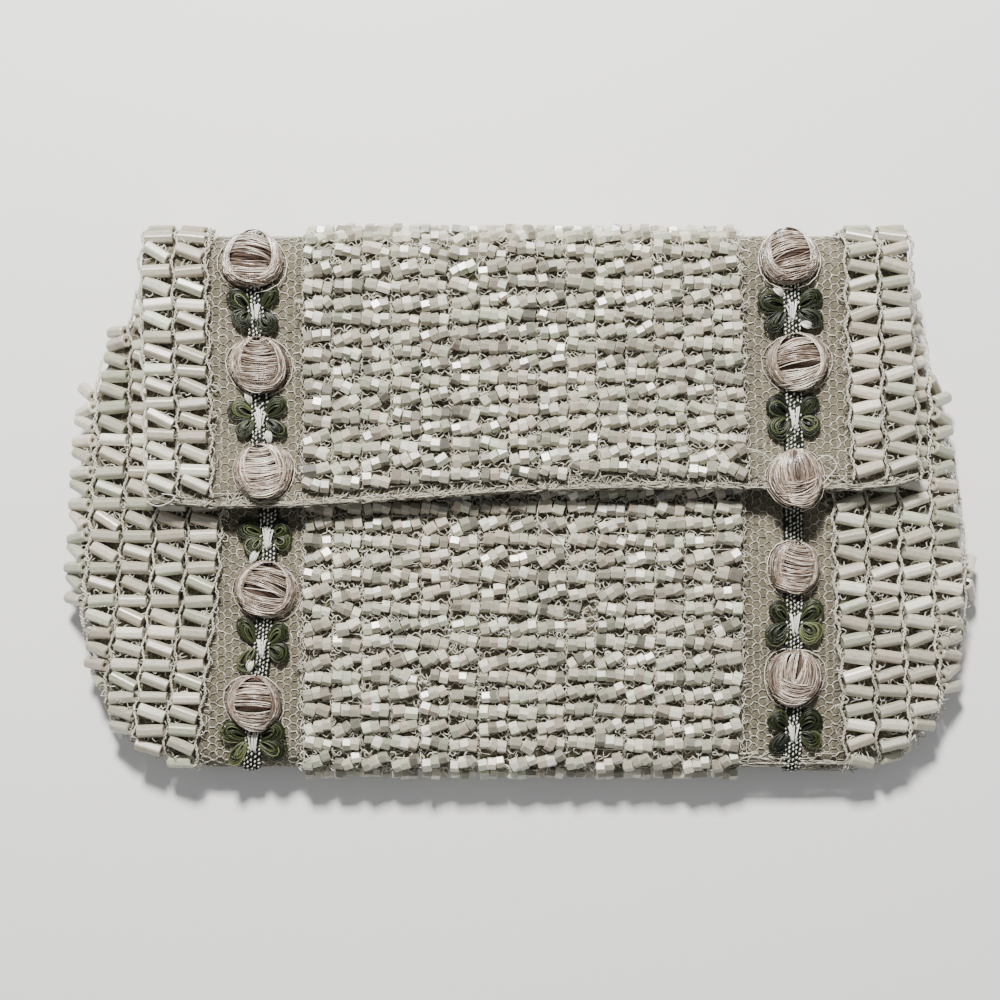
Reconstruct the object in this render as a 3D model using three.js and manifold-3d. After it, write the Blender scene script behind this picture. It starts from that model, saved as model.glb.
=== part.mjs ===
// A small beaded purse with a flap, lying on its back. Millimetres, +Z up, +X to the right as seen from
// above, +Y towards the fold of the flap. The origin is under the middle, on the surface it lies on.
import * as THREE from "three";
import { mergeVertices } from "three/addons/utils/BufferGeometryUtils.js";
import Module from "manifold-3d";

const wasm = await Module();
wasm.setup();

// Driving sizes of the cloth.
const HALF_WIDTH = 97.4; // from the middle to the widest point of the cloth
const HALF_DEPTH = 58; // from the middle to the bottom edge, and to the fold
const CLOTH = 1.2; // net, backing and padding together
const SIDE = 5.4; // height of the front panel's side wall
const EDGE_ROUND = 4.2; // where the side wall turns into the face
const CROWN = 2; // how far the front panel's face swells above its edge
const CROWN_REACH = 34; // from the edge to where the swelling is full
const MOUTH = 11; // from the fold back to the front panel's free edge
const FLAP_LIFT = 2.2; // between the front panel's beads and the flap
const HEM = 2.6; // bare cloth along the flap's lower edge

// Driving sizes of the beads and the trim.
const BEAD = 2.3; // thickness of a bead layer
const BED = 1.2; // thickness of a bead layer in the groove between two columns
const GROOVE = 0.9; // width of that groove
const CENTRE_COLUMNS = 15;
const BUGLE_PITCH = 7.15; // width of a column of long beads
const BUGLE_COLUMNS = 4; // on the face of the pouch, beside the one on its side wall
const FLAP_BUGLE_COLUMNS = 2;
const BRAID_WIDTH = 4.4;
const BRAID_HEIGHT = 1.2;
const ROSE_RADIUS = 6.2;
const ROSE_HEIGHT = 5;
const LEAF_LENGTH = 3.6;
const LEAF_WIDTH = 2.8;
const LEAF_HEIGHT = 2;
const LEAF_APART = 4.2; // from the upper pair of leaves to the lower pair
const LEAF_TUCK = 0.8; // how far a leaf reaches under the braid
const LEAF_SPLAY = 20; // degrees that a leaf points away from its neighbour
const PRESSED_LEAF_HEIGHT = 1.8; // on the back, where the purse lies on them
const STUD_RADIUS = 4;
const STUD_PLACE = 0.14; // share of HALF_DEPTH
const GAP = 0.3; // between neighbouring pieces

// Heights that follow from them.
const BACK_UNDER = BEAD + GAP;
const WALL_FOOT = BACK_UNDER + CLOTH + GAP;
const FACE_EDGE = WALL_FOOT + SIDE;
const FACE_TOP = FACE_EDGE + CROWN;
const FLAP_UNDER = FACE_TOP + GAP + BEAD + FLAP_LIFT;
const FLAP_TOP = FLAP_UNDER + CLOTH;
const FOLD_RADIUS = (FLAP_TOP - BACK_UNDER) / 2;
const FOLD_Z = (FLAP_TOP + BACK_UNDER) / 2;
const FOLD_Y = HALF_DEPTH - FOLD_RADIUS;
const MOUTH_Y = HALF_DEPTH - MOUTH;
const FOLD_STEPS = 6;
const PAST_BOTTOM = 1.3 * HALF_DEPTH; // below every outline
const BEYOND = 2 * HALF_WIDTH; // well outside the purse

// The pouch seen from above. y is a share of HALF_DEPTH, left and right are shares of HALF_WIDTH.
// Its upper end, and those of the tables below, lie past the fold, so that the fold alone ends the cloth.
const POUCH_OUTLINE = [
  { y: 1.3, left: -0.812, right: 0.822 },
  { y: 0.733, left: -0.863, right: 0.883 },
  { y: 0.562, left: -0.929, right: 0.911 },
  { y: 0.391, left: -0.967, right: 0.932 },
  { y: 0.164, left: -0.99, right: 0.967 },
  { y: -0.241, left: -1.0, right: 1.0 },
  { y: -0.414, left: -0.99, right: 0.999 },
  { y: -0.748, left: -0.931, right: 0.948 },
  { y: -0.862, left: -0.902, right: 0.913 },
  { y: -0.931, left: -0.847, right: 0.868 },
  { y: -1.0, left: -0.715, right: 0.75 },
];

// The edges of the middle field of beads, and where the long beads start beyond the bare bands, in the
// same shares.
const FRONT_FIELDS = {
  centre: [{ y: 1.3, left: -0.478, right: 0.5 }, { y: -1.3, left: -0.492, right: 0.492 }],
  bugles: [
    { y: 1.3, left: -0.655, right: 0.693 },
    { y: 0.24, left: -0.655, right: 0.693 },
    { y: -0.36, left: -0.682, right: 0.702 },
    { y: -1.3, left: -0.757, right: 0.744 },
  ],
};
const FLAP_FIELDS = {
  centre: [{ y: 1.3, left: -0.478, right: 0.472 }, { y: -0.1, left: -0.485, right: 0.504 }],
  bugles: [
    { y: 1.3, left: -0.694, right: 0.714 },
    { y: 0.8, left: -0.694, right: 0.714 },
    { y: -0.1, left: -0.68, right: 0.737 },
  ],
};
const BACK_FIELDS = {
  centre: [{ y: 1.3, left: -0.478, right: 0.472 }, { y: -1.3, left: -0.492, right: 0.492 }],
  bugles: [
    { y: 1.3, left: -0.694, right: 0.714 },
    { y: 0.8, left: -0.694, right: 0.714 },
    { y: -1.3, left: -0.74, right: 0.735 },
  ],
};

// The sides of the flap, which is folded over slightly askew.
const FLAP_SIDES = [
  { y: 1.3, left: -0.839, right: 0.854 },
  { y: 0.8, left: -0.839, right: 0.854 },
  { y: -0.1, left: -0.821, right: 0.882 },
];

// The flap's lower edge. x is a share of HALF_WIDTH, y a share of HALF_DEPTH.
const FLAP_EDGE = [
  { x: -0.83, y: 0.0 },
  { x: -0.69, y: -0.019 },
  { x: -0.48, y: -0.015 },
  { x: -0.26, y: 0.011 },
  { x: 0.0, y: 0.041 },
  { x: 0.26, y: 0.052 },
  { x: 0.74, y: 0.048 },
  { x: 0.82, y: 0.059 },
  { x: 0.89, y: 0.093 },
];

// How the flap lies between its fold and its lower edge. y is a share of HALF_DEPTH, sag a share of
// FLAP_LIFT.
const FLAP_SAG = [
  { y: 0.6, sag: 0.25 },
  { y: 0.3, sag: 0.5 },
  { y: -0.1, sag: -0.6 },
];

// The two trims: a braid with roses on it, and four leaves at each height listed, in the same shares.
const FLAP_TRIMS = {
  left: {
    braid: [{ x: -0.6, y: 1.3 }, { x: -0.59, y: 0.9 }, { x: -0.582, y: 0.5 }, { x: -0.572, y: -0.1 }],
    roses: [{ x: -0.594, y: 0.909 }, { x: -0.58, y: 0.514 }, { x: -0.57, y: 0.114 }],
    leaves: [0.715, 0.316],
  },
  right: {
    braid: [{ x: 0.585, y: 1.3 }, { x: 0.592, y: 0.9 }, { x: 0.602, y: 0.5 }, { x: 0.604, y: -0.1 }],
    roses: [{ x: 0.591, y: 0.919 }, { x: 0.61, y: 0.526 }, { x: 0.605, y: 0.091 }],
    leaves: [0.72, 0.32],
  },
};
const FRONT_TRIMS = {
  left: {
    braid: [{ x: -0.56, y: 1.3 }, { x: -0.566, y: -0.1 }, { x: -0.575, y: -0.45 }, { x: -0.61, y: -1.02 }],
    roses: [{ x: -0.57, y: -0.322 }, { x: -0.598, y: -0.748 }],
    leaves: [-0.125, -0.535, -0.89],
  },
  right: {
    braid: [{ x: 0.6, y: 1.3 }, { x: 0.61, y: -0.1 }, { x: 0.61, y: -0.5 }, { x: 0.61, y: -1.02 }],
    roses: [{ x: 0.611, y: -0.241 }, { x: 0.61, y: -0.652 }],
    leaves: [-0.447, -0.857],
  },
};
const BACK_TRIMS = {
  left: {
    braid: [{ x: -0.6, y: 1.3 }, { x: -0.585, y: 0.8 }, { x: -0.575, y: -0.3 }, { x: -0.61, y: -0.97 }],
    roses: [
      { x: -0.582, y: 0.62 },
      { x: -0.578, y: 0.22 },
      { x: -0.574, y: -0.2 },
      { x: -0.592, y: -0.63 },
    ],
    leaves: [0.42, 0.01, -0.415, -0.83],
  },
  right: {
    braid: [{ x: 0.585, y: 1.3 }, { x: 0.592, y: 0.8 }, { x: 0.6, y: -0.3 }, { x: 0.61, y: -0.97 }],
    roses: [
      { x: 0.594, y: 0.62 },
      { x: 0.597, y: 0.22 },
      { x: 0.6, y: -0.2 },
      { x: 0.605, y: -0.63 },
    ],
    leaves: [0.42, 0.01, -0.415, -0.83],
  },
};

// A rose seen in section. r is a share of its radius, z of its height.
const ROSE_SECTION = [
  { r: 0, z: 0 },
  { r: 0.86, z: 0 },
  { r: 1, z: 0.3 },
  { r: 0.86, z: 0.72 },
  { r: 0.52, z: 1 },
  { r: 0, z: 0.82 },
];
const ROSE_SIDES = 10;
const STUD_SIDES = 16;

const MATERIALS = {
  cloth: new THREE.MeshStandardMaterial({ color: 0xb9ae97, roughness: 0.9, metalness: 0 }),
  beads: new THREE.MeshStandardMaterial({ color: 0xc9c6bd, roughness: 0.35, metalness: 0 }),
  rose: new THREE.MeshStandardMaterial({ color: 0xc9ab9f, roughness: 0.5, metalness: 0 }),
  braid: new THREE.MeshStandardMaterial({ color: 0x4c5a3a, roughness: 0.6, metalness: 0 }),
  metal: new THREE.MeshStandardMaterial({ color: 0xa8a8a6, roughness: 0.35, metalness: 1 }),
};

// Closed three.js geometry to a solid.
function solidOf(geometry) {
  const bare = geometry.clone();
  bare.deleteAttribute("normal");
  bare.deleteAttribute("uv");
  const merged = mergeVertices(bare, 1e-4);
  return new wasm.Manifold(
    new wasm.Mesh({
      numProp: 3,
      vertProperties: merged.attributes.position.array,
      triVerts: new Uint32Array(merged.index.array),
    }),
  );
}

// A solid to a named mesh.
function meshOf(name, solid, material) {
  const made = solid.getMesh();
  const geometry = new THREE.BufferGeometry();
  geometry.setAttribute("position", new THREE.BufferAttribute(new Float32Array(made.vertProperties), 3));
  geometry.setIndex(new THREE.BufferAttribute(new Uint32Array(made.triVerts), 1));
  geometry.computeVertexNormals();
  const mesh = new THREE.Mesh(geometry, material);
  mesh.name = name;
  return mesh;
}

// The value of one column of a table at y, straight between its rows, which run from high y to low.
function valueAt(table, column, y) {
  let row = table.findIndex((r) => r.y <= y);
  row = row < 0 ? table.length - 1 : Math.max(row, 1);
  const above = table[row - 1];
  const below = table[row];
  const share = (y - below.y) / (above.y - below.y);
  return below[column] + (above[column] - below[column]) * share;
}

// An upright solid over an outline of [x, y] points, from far below the purse to far above it.
function upright(points) {
  const shape = new THREE.Shape(points.map(([x, y]) => new THREE.Vector2(x, y)));
  const geometry = new THREE.ExtrudeGeometry(shape, { depth: 2 * BEYOND, bevelEnabled: false });
  return solidOf(geometry.translate(0, 0, -BEYOND));
}

// A box between two corners, given as [x, y, z].
function block(low, high) {
  const size = high.map((value, i) => value - low[i]);
  const geometry = new THREE.BoxGeometry(...size);
  return solidOf(geometry.translate(...low.map((value, i) => value + size[i] / 2)));
}

// The pouch's outline as [x, y] points, grown outwards by a few millimetres.
function pouchOutline(grow) {
  const wide = HALF_WIDTH + grow;
  const deep = HALF_DEPTH + grow;
  const left = POUCH_OUTLINE.map((row) => [row.left * wide, row.y * deep]);
  const right = POUCH_OUTLINE.map((row) => [row.right * wide, row.y * deep]);
  return [...left, ...right.reverse()];
}

// A closed solid through rings of equally many points, the lowest ring first.
function loft(rings) {
  const count = rings[0].length;
  const positions = rings.flat().flatMap((p) => [p[0], p[1], p[2]]);
  const index = [];
  for (let ring = 0; ring + 1 < rings.length; ring++)
    for (let i = 0; i < count; i++) {
      const a = ring * count + i;
      const b = ring * count + ((i + 1) % count);
      index.push(a, b, b + count, a, b + count, a + count);
    }
  const contour = rings[0].map((p) => new THREE.Vector2(p[0], p[1]));
  const top = (rings.length - 1) * count;
  for (const [a, b, c] of THREE.ShapeUtils.triangulateShape(contour, []))
    index.push(a, c, b, top + a, top + b, top + c);
  const geometry = new THREE.BufferGeometry();
  geometry.setAttribute("position", new THREE.Float32BufferAttribute(positions, 3));
  geometry.setIndex(index);
  return solidOf(geometry);
}

// The front panel's outside as a filled shape from a given height up, moved outwards by an offset.
function pillow(offset, low) {
  const ring = (grow, z) => pouchOutline(grow).map(([x, y]) => [x, y, z]);
  const radius = EDGE_ROUND + offset;
  const rings = [ring(offset, low)];
  for (const degrees of [0, 45, 90]) {
    const angle = THREE.MathUtils.degToRad(degrees);
    rings.push(
      ring(radius * Math.cos(angle) - EDGE_ROUND, FACE_EDGE - EDGE_ROUND + radius * Math.sin(angle)),
    );
  }
  rings.push(ring(-CROWN_REACH, FACE_TOP + offset));
  return loft(rings);
}

// The path of the back, the fold and the flap as [y, z] points, moved outwards by an offset.
function wrapPath(offset) {
  const path = [[-PAST_BOTTOM, BACK_UNDER - offset]];
  for (let step = 0; step <= FOLD_STEPS; step++) {
    const angle = (Math.PI * step) / FOLD_STEPS - Math.PI / 2;
    const radius = FOLD_RADIUS + offset;
    path.push([FOLD_Y + radius * Math.cos(angle), FOLD_Z + radius * Math.sin(angle)]);
  }
  for (const { y, sag } of FLAP_SAG) path.push([y * HALF_DEPTH, FLAP_TOP + offset - sag * FLAP_LIFT]);
  return path;
}

// A sheet that follows that path between two offsets, wide enough to be cut to any outline.
function wrap(inner, outer) {
  const points = [...wrapPath(outer), ...wrapPath(inner).reverse()];
  const shape = new THREE.Shape(points.map(([y, z]) => new THREE.Vector2(y, z)));
  const geometry = new THREE.ExtrudeGeometry(shape, { depth: 2 * BEYOND, bevelEnabled: false });
  geometry.translate(0, 0, -BEYOND);
  // The shape's own x, y and depth become the purse's y, z and x.
  geometry.applyMatrix4(new THREE.Matrix4().set(0, 0, 1, 0, 1, 0, 0, 0, 0, 1, 0, 0, 0, 0, 0, 1));
  return solidOf(geometry);
}

// Everything over or under a height.
const over = (z) => block([-BEYOND, -BEYOND, z], [BEYOND, BEYOND, BEYOND]);
const under = (z) => block([-BEYOND, -BEYOND, -BEYOND], [BEYOND, BEYOND, z]);

// The stretch between two lines that run from the fold to the bottom, as an upright solid.
function between(rows, leftOf, rightOf) {
  const left = rows.map((row) => [leftOf(row), row.y * HALF_DEPTH]);
  const right = rows.map((row) => [rightOf(row), row.y * HALF_DEPTH]);
  return upright([...left, ...right.reverse()]);
}

// The strips of the columns of one field, and the field as a whole.
function centreField(rows) {
  const at = (share) => (row) => HALF_WIDTH * (row.left + (row.right - row.left) * share);
  const strips = [];
  for (let column = 0; column < CENTRE_COLUMNS; column++) {
    const left = at(column / CENTRE_COLUMNS);
    const right = at((column + 1) / CENTRE_COLUMNS);
    strips.push(between(rows, (row) => left(row) + GROOVE / 2, (row) => right(row) - GROOVE / 2));
  }
  return { strips, whole: between(rows, at(0), at(1)) };
}

function bugleField(rows, side, columns, last) {
  const line = (row, column) => {
    const start = HALF_WIDTH * (side < 0 ? row.left : row.right);
    return start + side * column * BUGLE_PITCH;
  };
  const spanned = (near, farther) =>
    side < 0 ? between(rows, farther, near) : between(rows, near, farther);
  const strips = [];
  for (let column = 0; column < columns; column++)
    strips.push(
      spanned(
        (row) => line(row, column) + (side * GROOVE) / 2,
        (row) => line(row, column + 1) - (side * GROOVE) / 2,
      ),
    );
  if (last) strips.push(spanned((row) => line(row, columns) + (side * GROOVE) / 2, () => side * BEYOND));
  return { strips, whole: spanned((row) => line(row, 0), () => side * BEYOND) };
}

// A bead layer: a thin bed over the whole field, and a rib for each column that rises out of it.
function beadLayer(field, bed, upper) {
  const ribs = wasm.Manifold.union(field.strips).intersect(upper);
  return bed.intersect(field.whole).add(ribs);
}

// The flap's outline with a given width of hem taken off its lower edge.
function flapArea(hem) {
  const sides = between(FLAP_SIDES, (row) => row.left * HALF_WIDTH, (row) => row.right * HALF_WIDTH);
  const edge = FLAP_EDGE.map(({ x, y }) => [x * HALF_WIDTH, y * HALF_DEPTH + hem]);
  const above = [
    [-BEYOND, edge[0][1]],
    ...edge,
    [BEYOND, edge[edge.length - 1][1]],
    [BEYOND, BEYOND],
    [-BEYOND, BEYOND],
  ];
  return sides.intersect(upright(above));
}

// The braid's strip, widened on both sides by a margin.
function braidStrip(points, margin) {
  const half = BRAID_WIDTH / 2 + margin;
  return between(points, ({ x }) => x * HALF_WIDTH - half, ({ x }) => x * HALF_WIDTH + half);
}

// Where a trim's piece sits: a matrix that takes +Z to the cloth's outward direction. The piece stands on
// the plane that touches the surface over its own reach.
function seated(height, { x, y }) {
  const reach = ROSE_RADIUS / 2;
  const [dx, dy] = [reach / HALF_WIDTH, reach / HALF_DEPTH];
  const alongX = height(x + dx, y) - height(x - dx, y);
  const alongY = height(x, y + dy) - height(x, y - dy);
  const outward = new THREE.Vector3(-alongX, -alongY, 2 * reach).normalize();
  const turn = new THREE.Quaternion().setFromUnitVectors(new THREE.Vector3(0, 0, 1), outward);
  const place = new THREE.Vector3(x * HALF_WIDTH, y * HALF_DEPTH, height(x, y));
  place.addScaledVector(outward, GAP);
  return new THREE.Matrix4().compose(place, turn, new THREE.Vector3(1, 1, 1));
}

function onFront(spot) {
  return seated(faceHeight, spot);
}

function onBack({ x, y }) {
  const turned = new THREE.Matrix4().makeRotationY(Math.PI);
  return turned.setPosition(x * HALF_WIDTH, y * HALF_DEPTH, BACK_UNDER - GAP);
}

function onFlap({ x, y }) {
  const past = y * HALF_DEPTH - FOLD_Y;
  if (past <= 0) return seated((_, height) => flapHeight(height), { x, y });
  const radius = FOLD_RADIUS + GAP;
  const angle = Math.asin(past / (radius + ROSE_HEIGHT / 2));
  const matrix = new THREE.Matrix4().makeRotationX(-angle);
  return matrix.setPosition(
    x * HALF_WIDTH,
    FOLD_Y + radius * Math.sin(angle),
    FOLD_Z + radius * Math.cos(angle),
  );
}

// The height of the flap's upper face where it lies flat.
function flapHeight(y) {
  const rows = [{ y: FOLD_Y / HALF_DEPTH, sag: 0 }, ...FLAP_SAG];
  return FLAP_TOP - valueAt(rows, "sag", y) * FLAP_LIFT;
}

// The height of the front panel's face, found by shrinking the outline until it runs through the point.
function faceHeight(x, y) {
  const inside = (grow) => {
    const wide = 1 + grow / HALF_WIDTH;
    const deep = 1 + grow / HALF_DEPTH;
    const low = POUCH_OUTLINE[POUCH_OUTLINE.length - 1].y;
    if (y / deep < low) return false;
    const column = x < 0 ? "left" : "right";
    return Math.abs(x / wide) < Math.abs(valueAt(POUCH_OUTLINE, column, y / deep));
  };
  let [low, high] = [-CROWN_REACH, -EDGE_ROUND];
  if (inside(low)) return FACE_TOP;
  for (let step = 0; step < 20; step++) {
    const middle = (low + high) / 2;
    if (inside(middle)) high = middle;
    else low = middle;
  }
  return FACE_EDGE + (CROWN * (-high - EDGE_ROUND)) / (CROWN_REACH - EDGE_ROUND);
}

function roseSolid(height, matrix) {
  const profile = ROSE_SECTION.map(({ r, z }) => new THREE.Vector2(r * ROSE_RADIUS, z * height));
  const lathe = new THREE.LatheGeometry(profile, ROSE_SIDES).rotateX(Math.PI / 2);
  return solidOf(lathe.applyMatrix4(matrix));
}

function leafSolid(height, side, up, matrix) {
  const leaf = new THREE.OctahedronGeometry(1).scale(LEAF_LENGTH / 2, LEAF_WIDTH / 2, height / 2);
  leaf.rotateZ(side * up * THREE.MathUtils.degToRad(LEAF_SPLAY));
  leaf.translate(side * (BRAID_WIDTH / 2 - LEAF_TUCK + LEAF_LENGTH / 2), (up * LEAF_APART) / 2, height / 2);
  return solidOf(leaf.applyMatrix4(matrix));
}

// One trim: its braid with the leaves joined on, and its roses, each cut clear of the braid.
function trimMeshes(place, side, trim, sheet, seat, heights) {
  let braid = sheet(GAP, GAP + BRAID_HEIGHT).intersect(braidStrip(trim.braid, 0));
  for (const y of trim.leaves)
    for (const across of [-1, 1])
      for (const up of [-1, 1]) {
        const matrix = seat({ x: valueAt(trim.braid, "x", y), y });
        braid = braid.add(leafSolid(heights.leaf, across, up, matrix));
      }
  const clear = sheet(0, 2 * GAP + BRAID_HEIGHT).intersect(braidStrip(trim.braid, GAP));
  const meshes = [meshOf(`${place}_${side}_braid`, braid, MATERIALS.braid)];
  trim.roses.forEach((spot, i) => {
    const rose = roseSolid(heights.rose, seat(spot)).subtract(clear);
    meshes.push(meshOf(`${place}_${side}_rose_${i + 1}`, rose, MATERIALS.rose));
  });
  return meshes;
}

const purse = new THREE.Group();

// The cloth: one strip makes the back and the flap, and the front panel is sewn on it.
const backArea = upright(pouchOutline(0)).intersect(under(FOLD_Z));
const stripArea = backArea.add(flapArea(0).intersect(over(FOLD_Z - GAP)));
purse.add(meshOf("back_and_flap", wrap(-CLOTH, 0).intersect(stripArea), MATERIALS.cloth));

// A layer of the front panel between two offsets, open at the mouth and underneath.
const pastMouth = block([-BEYOND, MOUTH_Y, -BEYOND], [BEYOND, BEYOND, BEYOND]);
const frontSheet = (low, high) =>
  pillow(high, WALL_FOOT).subtract(pillow(low, WALL_FOOT - CLOTH)).subtract(pastMouth);
purse.add(meshOf("front_panel", frontSheet(-CLOTH, 0), MATERIALS.cloth));

// The press stud that holds the flap down, hidden under it.
const studLow = FACE_TOP + GAP;
const studHigh = flapHeight(STUD_PLACE + STUD_RADIUS / HALF_DEPTH) - CLOTH - GAP;
function studSolid(margin) {
  const height = studHigh - studLow;
  const radius = STUD_RADIUS + margin;
  const disc = new THREE.CylinderGeometry(radius, radius, height, STUD_SIDES);
  disc.rotateX(Math.PI / 2).translate(0, STUD_PLACE * HALF_DEPTH, (studLow + studHigh) / 2);
  return solidOf(disc);
}
purse.add(meshOf("press_stud", studSolid(0), MATERIALS.metal));

// The beads of the front panel.
const frontBed = frontSheet(GAP, GAP + BED);
const frontUpper = frontSheet(GAP + BED / 2, GAP + BEAD);
const frontFields = {
  centre_beads: centreField(FRONT_FIELDS.centre),
  left_bugles: bugleField(FRONT_FIELDS.bugles, -1, BUGLE_COLUMNS, true),
  right_bugles: bugleField(FRONT_FIELDS.bugles, 1, BUGLE_COLUMNS, true),
};
for (const [name, field] of Object.entries(frontFields)) {
  const layer = beadLayer(field, frontBed, frontUpper).subtract(studSolid(GAP));
  purse.add(meshOf(`front_${name}`, layer, MATERIALS.beads));
}

// The beads of the flap and of the back, which meet at the middle of the fold.
const wrapBed = wrap(GAP, GAP + BED);
const wrapUpper = wrap(GAP + BED / 2, GAP + BEAD);
const flapFields = {
  centre_beads: centreField(FLAP_FIELDS.centre),
  left_bugles: bugleField(FLAP_FIELDS.bugles, -1, FLAP_BUGLE_COLUMNS, false),
  right_bugles: bugleField(FLAP_FIELDS.bugles, 1, FLAP_BUGLE_COLUMNS, false),
};
const flapLimit = flapArea(HEM).intersect(over(FOLD_Z + GAP / 2));
for (const [name, field] of Object.entries(flapFields)) {
  const layer = beadLayer(field, wrapBed, wrapUpper).intersect(flapLimit);
  purse.add(meshOf(`flap_${name}`, layer, MATERIALS.beads));
}

const backFields = {
  centre_beads: centreField(BACK_FIELDS.centre),
  left_bugles: bugleField(BACK_FIELDS.bugles, -1, BUGLE_COLUMNS, true),
  right_bugles: bugleField(BACK_FIELDS.bugles, 1, BUGLE_COLUMNS, true),
};
const backLimit = upright(pouchOutline(GAP + BEAD)).intersect(under(FOLD_Z - GAP / 2));
for (const [name, field] of Object.entries(backFields)) {
  const layer = beadLayer(field, wrapBed, wrapUpper).intersect(backLimit);
  purse.add(meshOf(`back_${name}`, layer, MATERIALS.beads));
}

// The trims. The ones on the back are pressed as flat as the beads beside them.
const full = { rose: ROSE_HEIGHT, leaf: LEAF_HEIGHT };
const pressed = { rose: BEAD, leaf: PRESSED_LEAF_HEIGHT };
const flapTrimLimit = flapArea(0).intersect(over(FOLD_Z + GAP / 2));
const flapSheet = (low, high) => wrap(low, high).intersect(flapTrimLimit);
const backSheet = (low, high) => wrap(low, high).intersect(backLimit);
for (const side of ["left", "right"])
  purse.add(
    ...trimMeshes("flap", side, FLAP_TRIMS[side], flapSheet, onFlap, full),
    ...trimMeshes("front", side, FRONT_TRIMS[side], frontSheet, onFront, full),
    ...trimMeshes("back", side, BACK_TRIMS[side], backSheet, onBack, pressed),
  );

// The origin is under the middle of the whole.
const whole = new THREE.Box3().setFromObject(purse);
const middle = whole.getCenter(new THREE.Vector3());
purse.position.set(-middle.x, -middle.y, -whole.min.z);

export default purse;
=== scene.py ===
import math

import bpy
import numpy as np
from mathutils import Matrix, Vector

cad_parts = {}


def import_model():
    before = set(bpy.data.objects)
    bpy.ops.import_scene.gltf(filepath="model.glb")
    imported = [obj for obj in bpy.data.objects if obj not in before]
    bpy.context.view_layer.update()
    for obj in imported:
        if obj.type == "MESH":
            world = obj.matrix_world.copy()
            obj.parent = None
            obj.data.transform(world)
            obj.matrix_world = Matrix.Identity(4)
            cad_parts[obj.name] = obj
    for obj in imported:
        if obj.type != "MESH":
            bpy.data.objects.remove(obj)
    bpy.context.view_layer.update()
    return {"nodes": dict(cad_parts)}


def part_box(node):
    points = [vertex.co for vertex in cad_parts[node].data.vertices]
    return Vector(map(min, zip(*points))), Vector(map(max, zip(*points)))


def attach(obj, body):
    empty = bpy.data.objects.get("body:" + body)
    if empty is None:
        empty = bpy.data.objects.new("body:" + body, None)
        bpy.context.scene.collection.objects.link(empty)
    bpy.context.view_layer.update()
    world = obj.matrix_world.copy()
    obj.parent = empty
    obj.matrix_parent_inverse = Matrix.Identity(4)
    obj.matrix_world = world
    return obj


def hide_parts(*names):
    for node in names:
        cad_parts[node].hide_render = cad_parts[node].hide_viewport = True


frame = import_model()

# Every length below is in millimetres, and a piece is scaled to metres when it is made.
MM = 0.001
BODY = "root"


def cad_box(name):
    low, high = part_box(name)
    return np.array(low) / MM, np.array(high) / MM


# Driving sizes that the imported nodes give.
front_low, front_high = cad_box("front_panel")
strip_low, strip_high = cad_box("back_and_flap")
_, field_high = cad_box("front_centre_beads")
HALF_WIDTH = (front_high[0] - front_low[0]) / 2
HALF_DEPTH = (strip_high[1] - strip_low[1]) / 2
BACK_UNDER = strip_low[2]
WALL_FOOT = front_low[2]
FACE_TOP = front_high[2]
MOUTH_Y = front_high[1]
LAYER = field_high[2] - FACE_TOP

# The other driving sizes, as in the CAD part.
CLOTH = 1.2
EDGE_ROUND = 4.2
CROWN = 2.0
CROWN_REACH = 34.0
FLAP_LIFT = 2.2
HEM = 2.6
GAP = 0.3
BUGLE_PITCH = 7.15
CENTRE_COLUMNS = 15
BRAID_WIDTH = 4.4
BRAID_HEIGHT = 1.2
ROSE_RADIUS = 6.2
ROSE_HEIGHT = 5.0
PRESSED_HEIGHT = 2.3

# Heights that follow from them.
FACE_EDGE = FACE_TOP - CROWN
FLAP_TOP = FACE_TOP + LAYER + FLAP_LIFT + CLOTH
FOLD_RADIUS = (FLAP_TOP - BACK_UNDER) / 2
FOLD_Z = (FLAP_TOP + BACK_UNDER) / 2
FOLD_Y = HALF_DEPTH - FOLD_RADIUS
FOLD_MIDDLE = FOLD_Y + FOLD_RADIUS * math.pi / 2
ROUND_END = EDGE_ROUND * math.pi / 2
WALL_END = ROUND_END + FACE_EDGE - EDGE_ROUND - WALL_FOOT
# The front panel's foot on its flat pattern, which runs on over the rounded edge and down the side wall.
FRONT_FOOT = -HALF_DEPTH + EDGE_ROUND - WALL_END
# Where the front's short beads, and its bands of net and braid, end under the flap.
FRONT_BEADS_TOP = 15.5
FRONT_BANDS_TOP = 14.0

# Sizes of what only the looks show; a pair of short beads fills a rung that is usually of three.
SEED_LENGTH = 1.93
PAIRED_SEED_LENGTH = 2.75
SEED_RADIUS = 1.42
BUGLE_LENGTH = 5.95
BUGLE_RADIUS = 1.4
STEEPEST_BEAD = math.radians(54)
NET_PITCH = 1.85
NET_SIDE = NET_PITCH / math.sqrt(3)
NET_RADIUS = 0.15
STITCH_LENGTH = 1.9
THREAD_RADIUS = 0.17
TWIST_RADIUS = 0.23
GARLAND_RADIUS = 0.14
FINE_RADIUS = 0.13

SIDES = {-1: "left", 1: "right"}
MIDDLING = (0.5, 0.5, 0.5)

# The pouch seen from above: y as a share of HALF_DEPTH, left and right as shares of HALF_WIDTH.
POUCH_OUTLINE = {
    "y": (1.3, 0.733, 0.562, 0.391, 0.164, -0.241, -0.414, -0.748, -0.862, -0.931, -1.0),
    "left": (-0.812, -0.863, -0.929, -0.967, -0.99, -1.0, -0.99, -0.931, -0.902, -0.847, -0.715),
    "right": (0.822, 0.883, 0.911, 0.932, 0.967, 1.0, 0.999, 0.948, 0.913, 0.868, 0.75),
}

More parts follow.
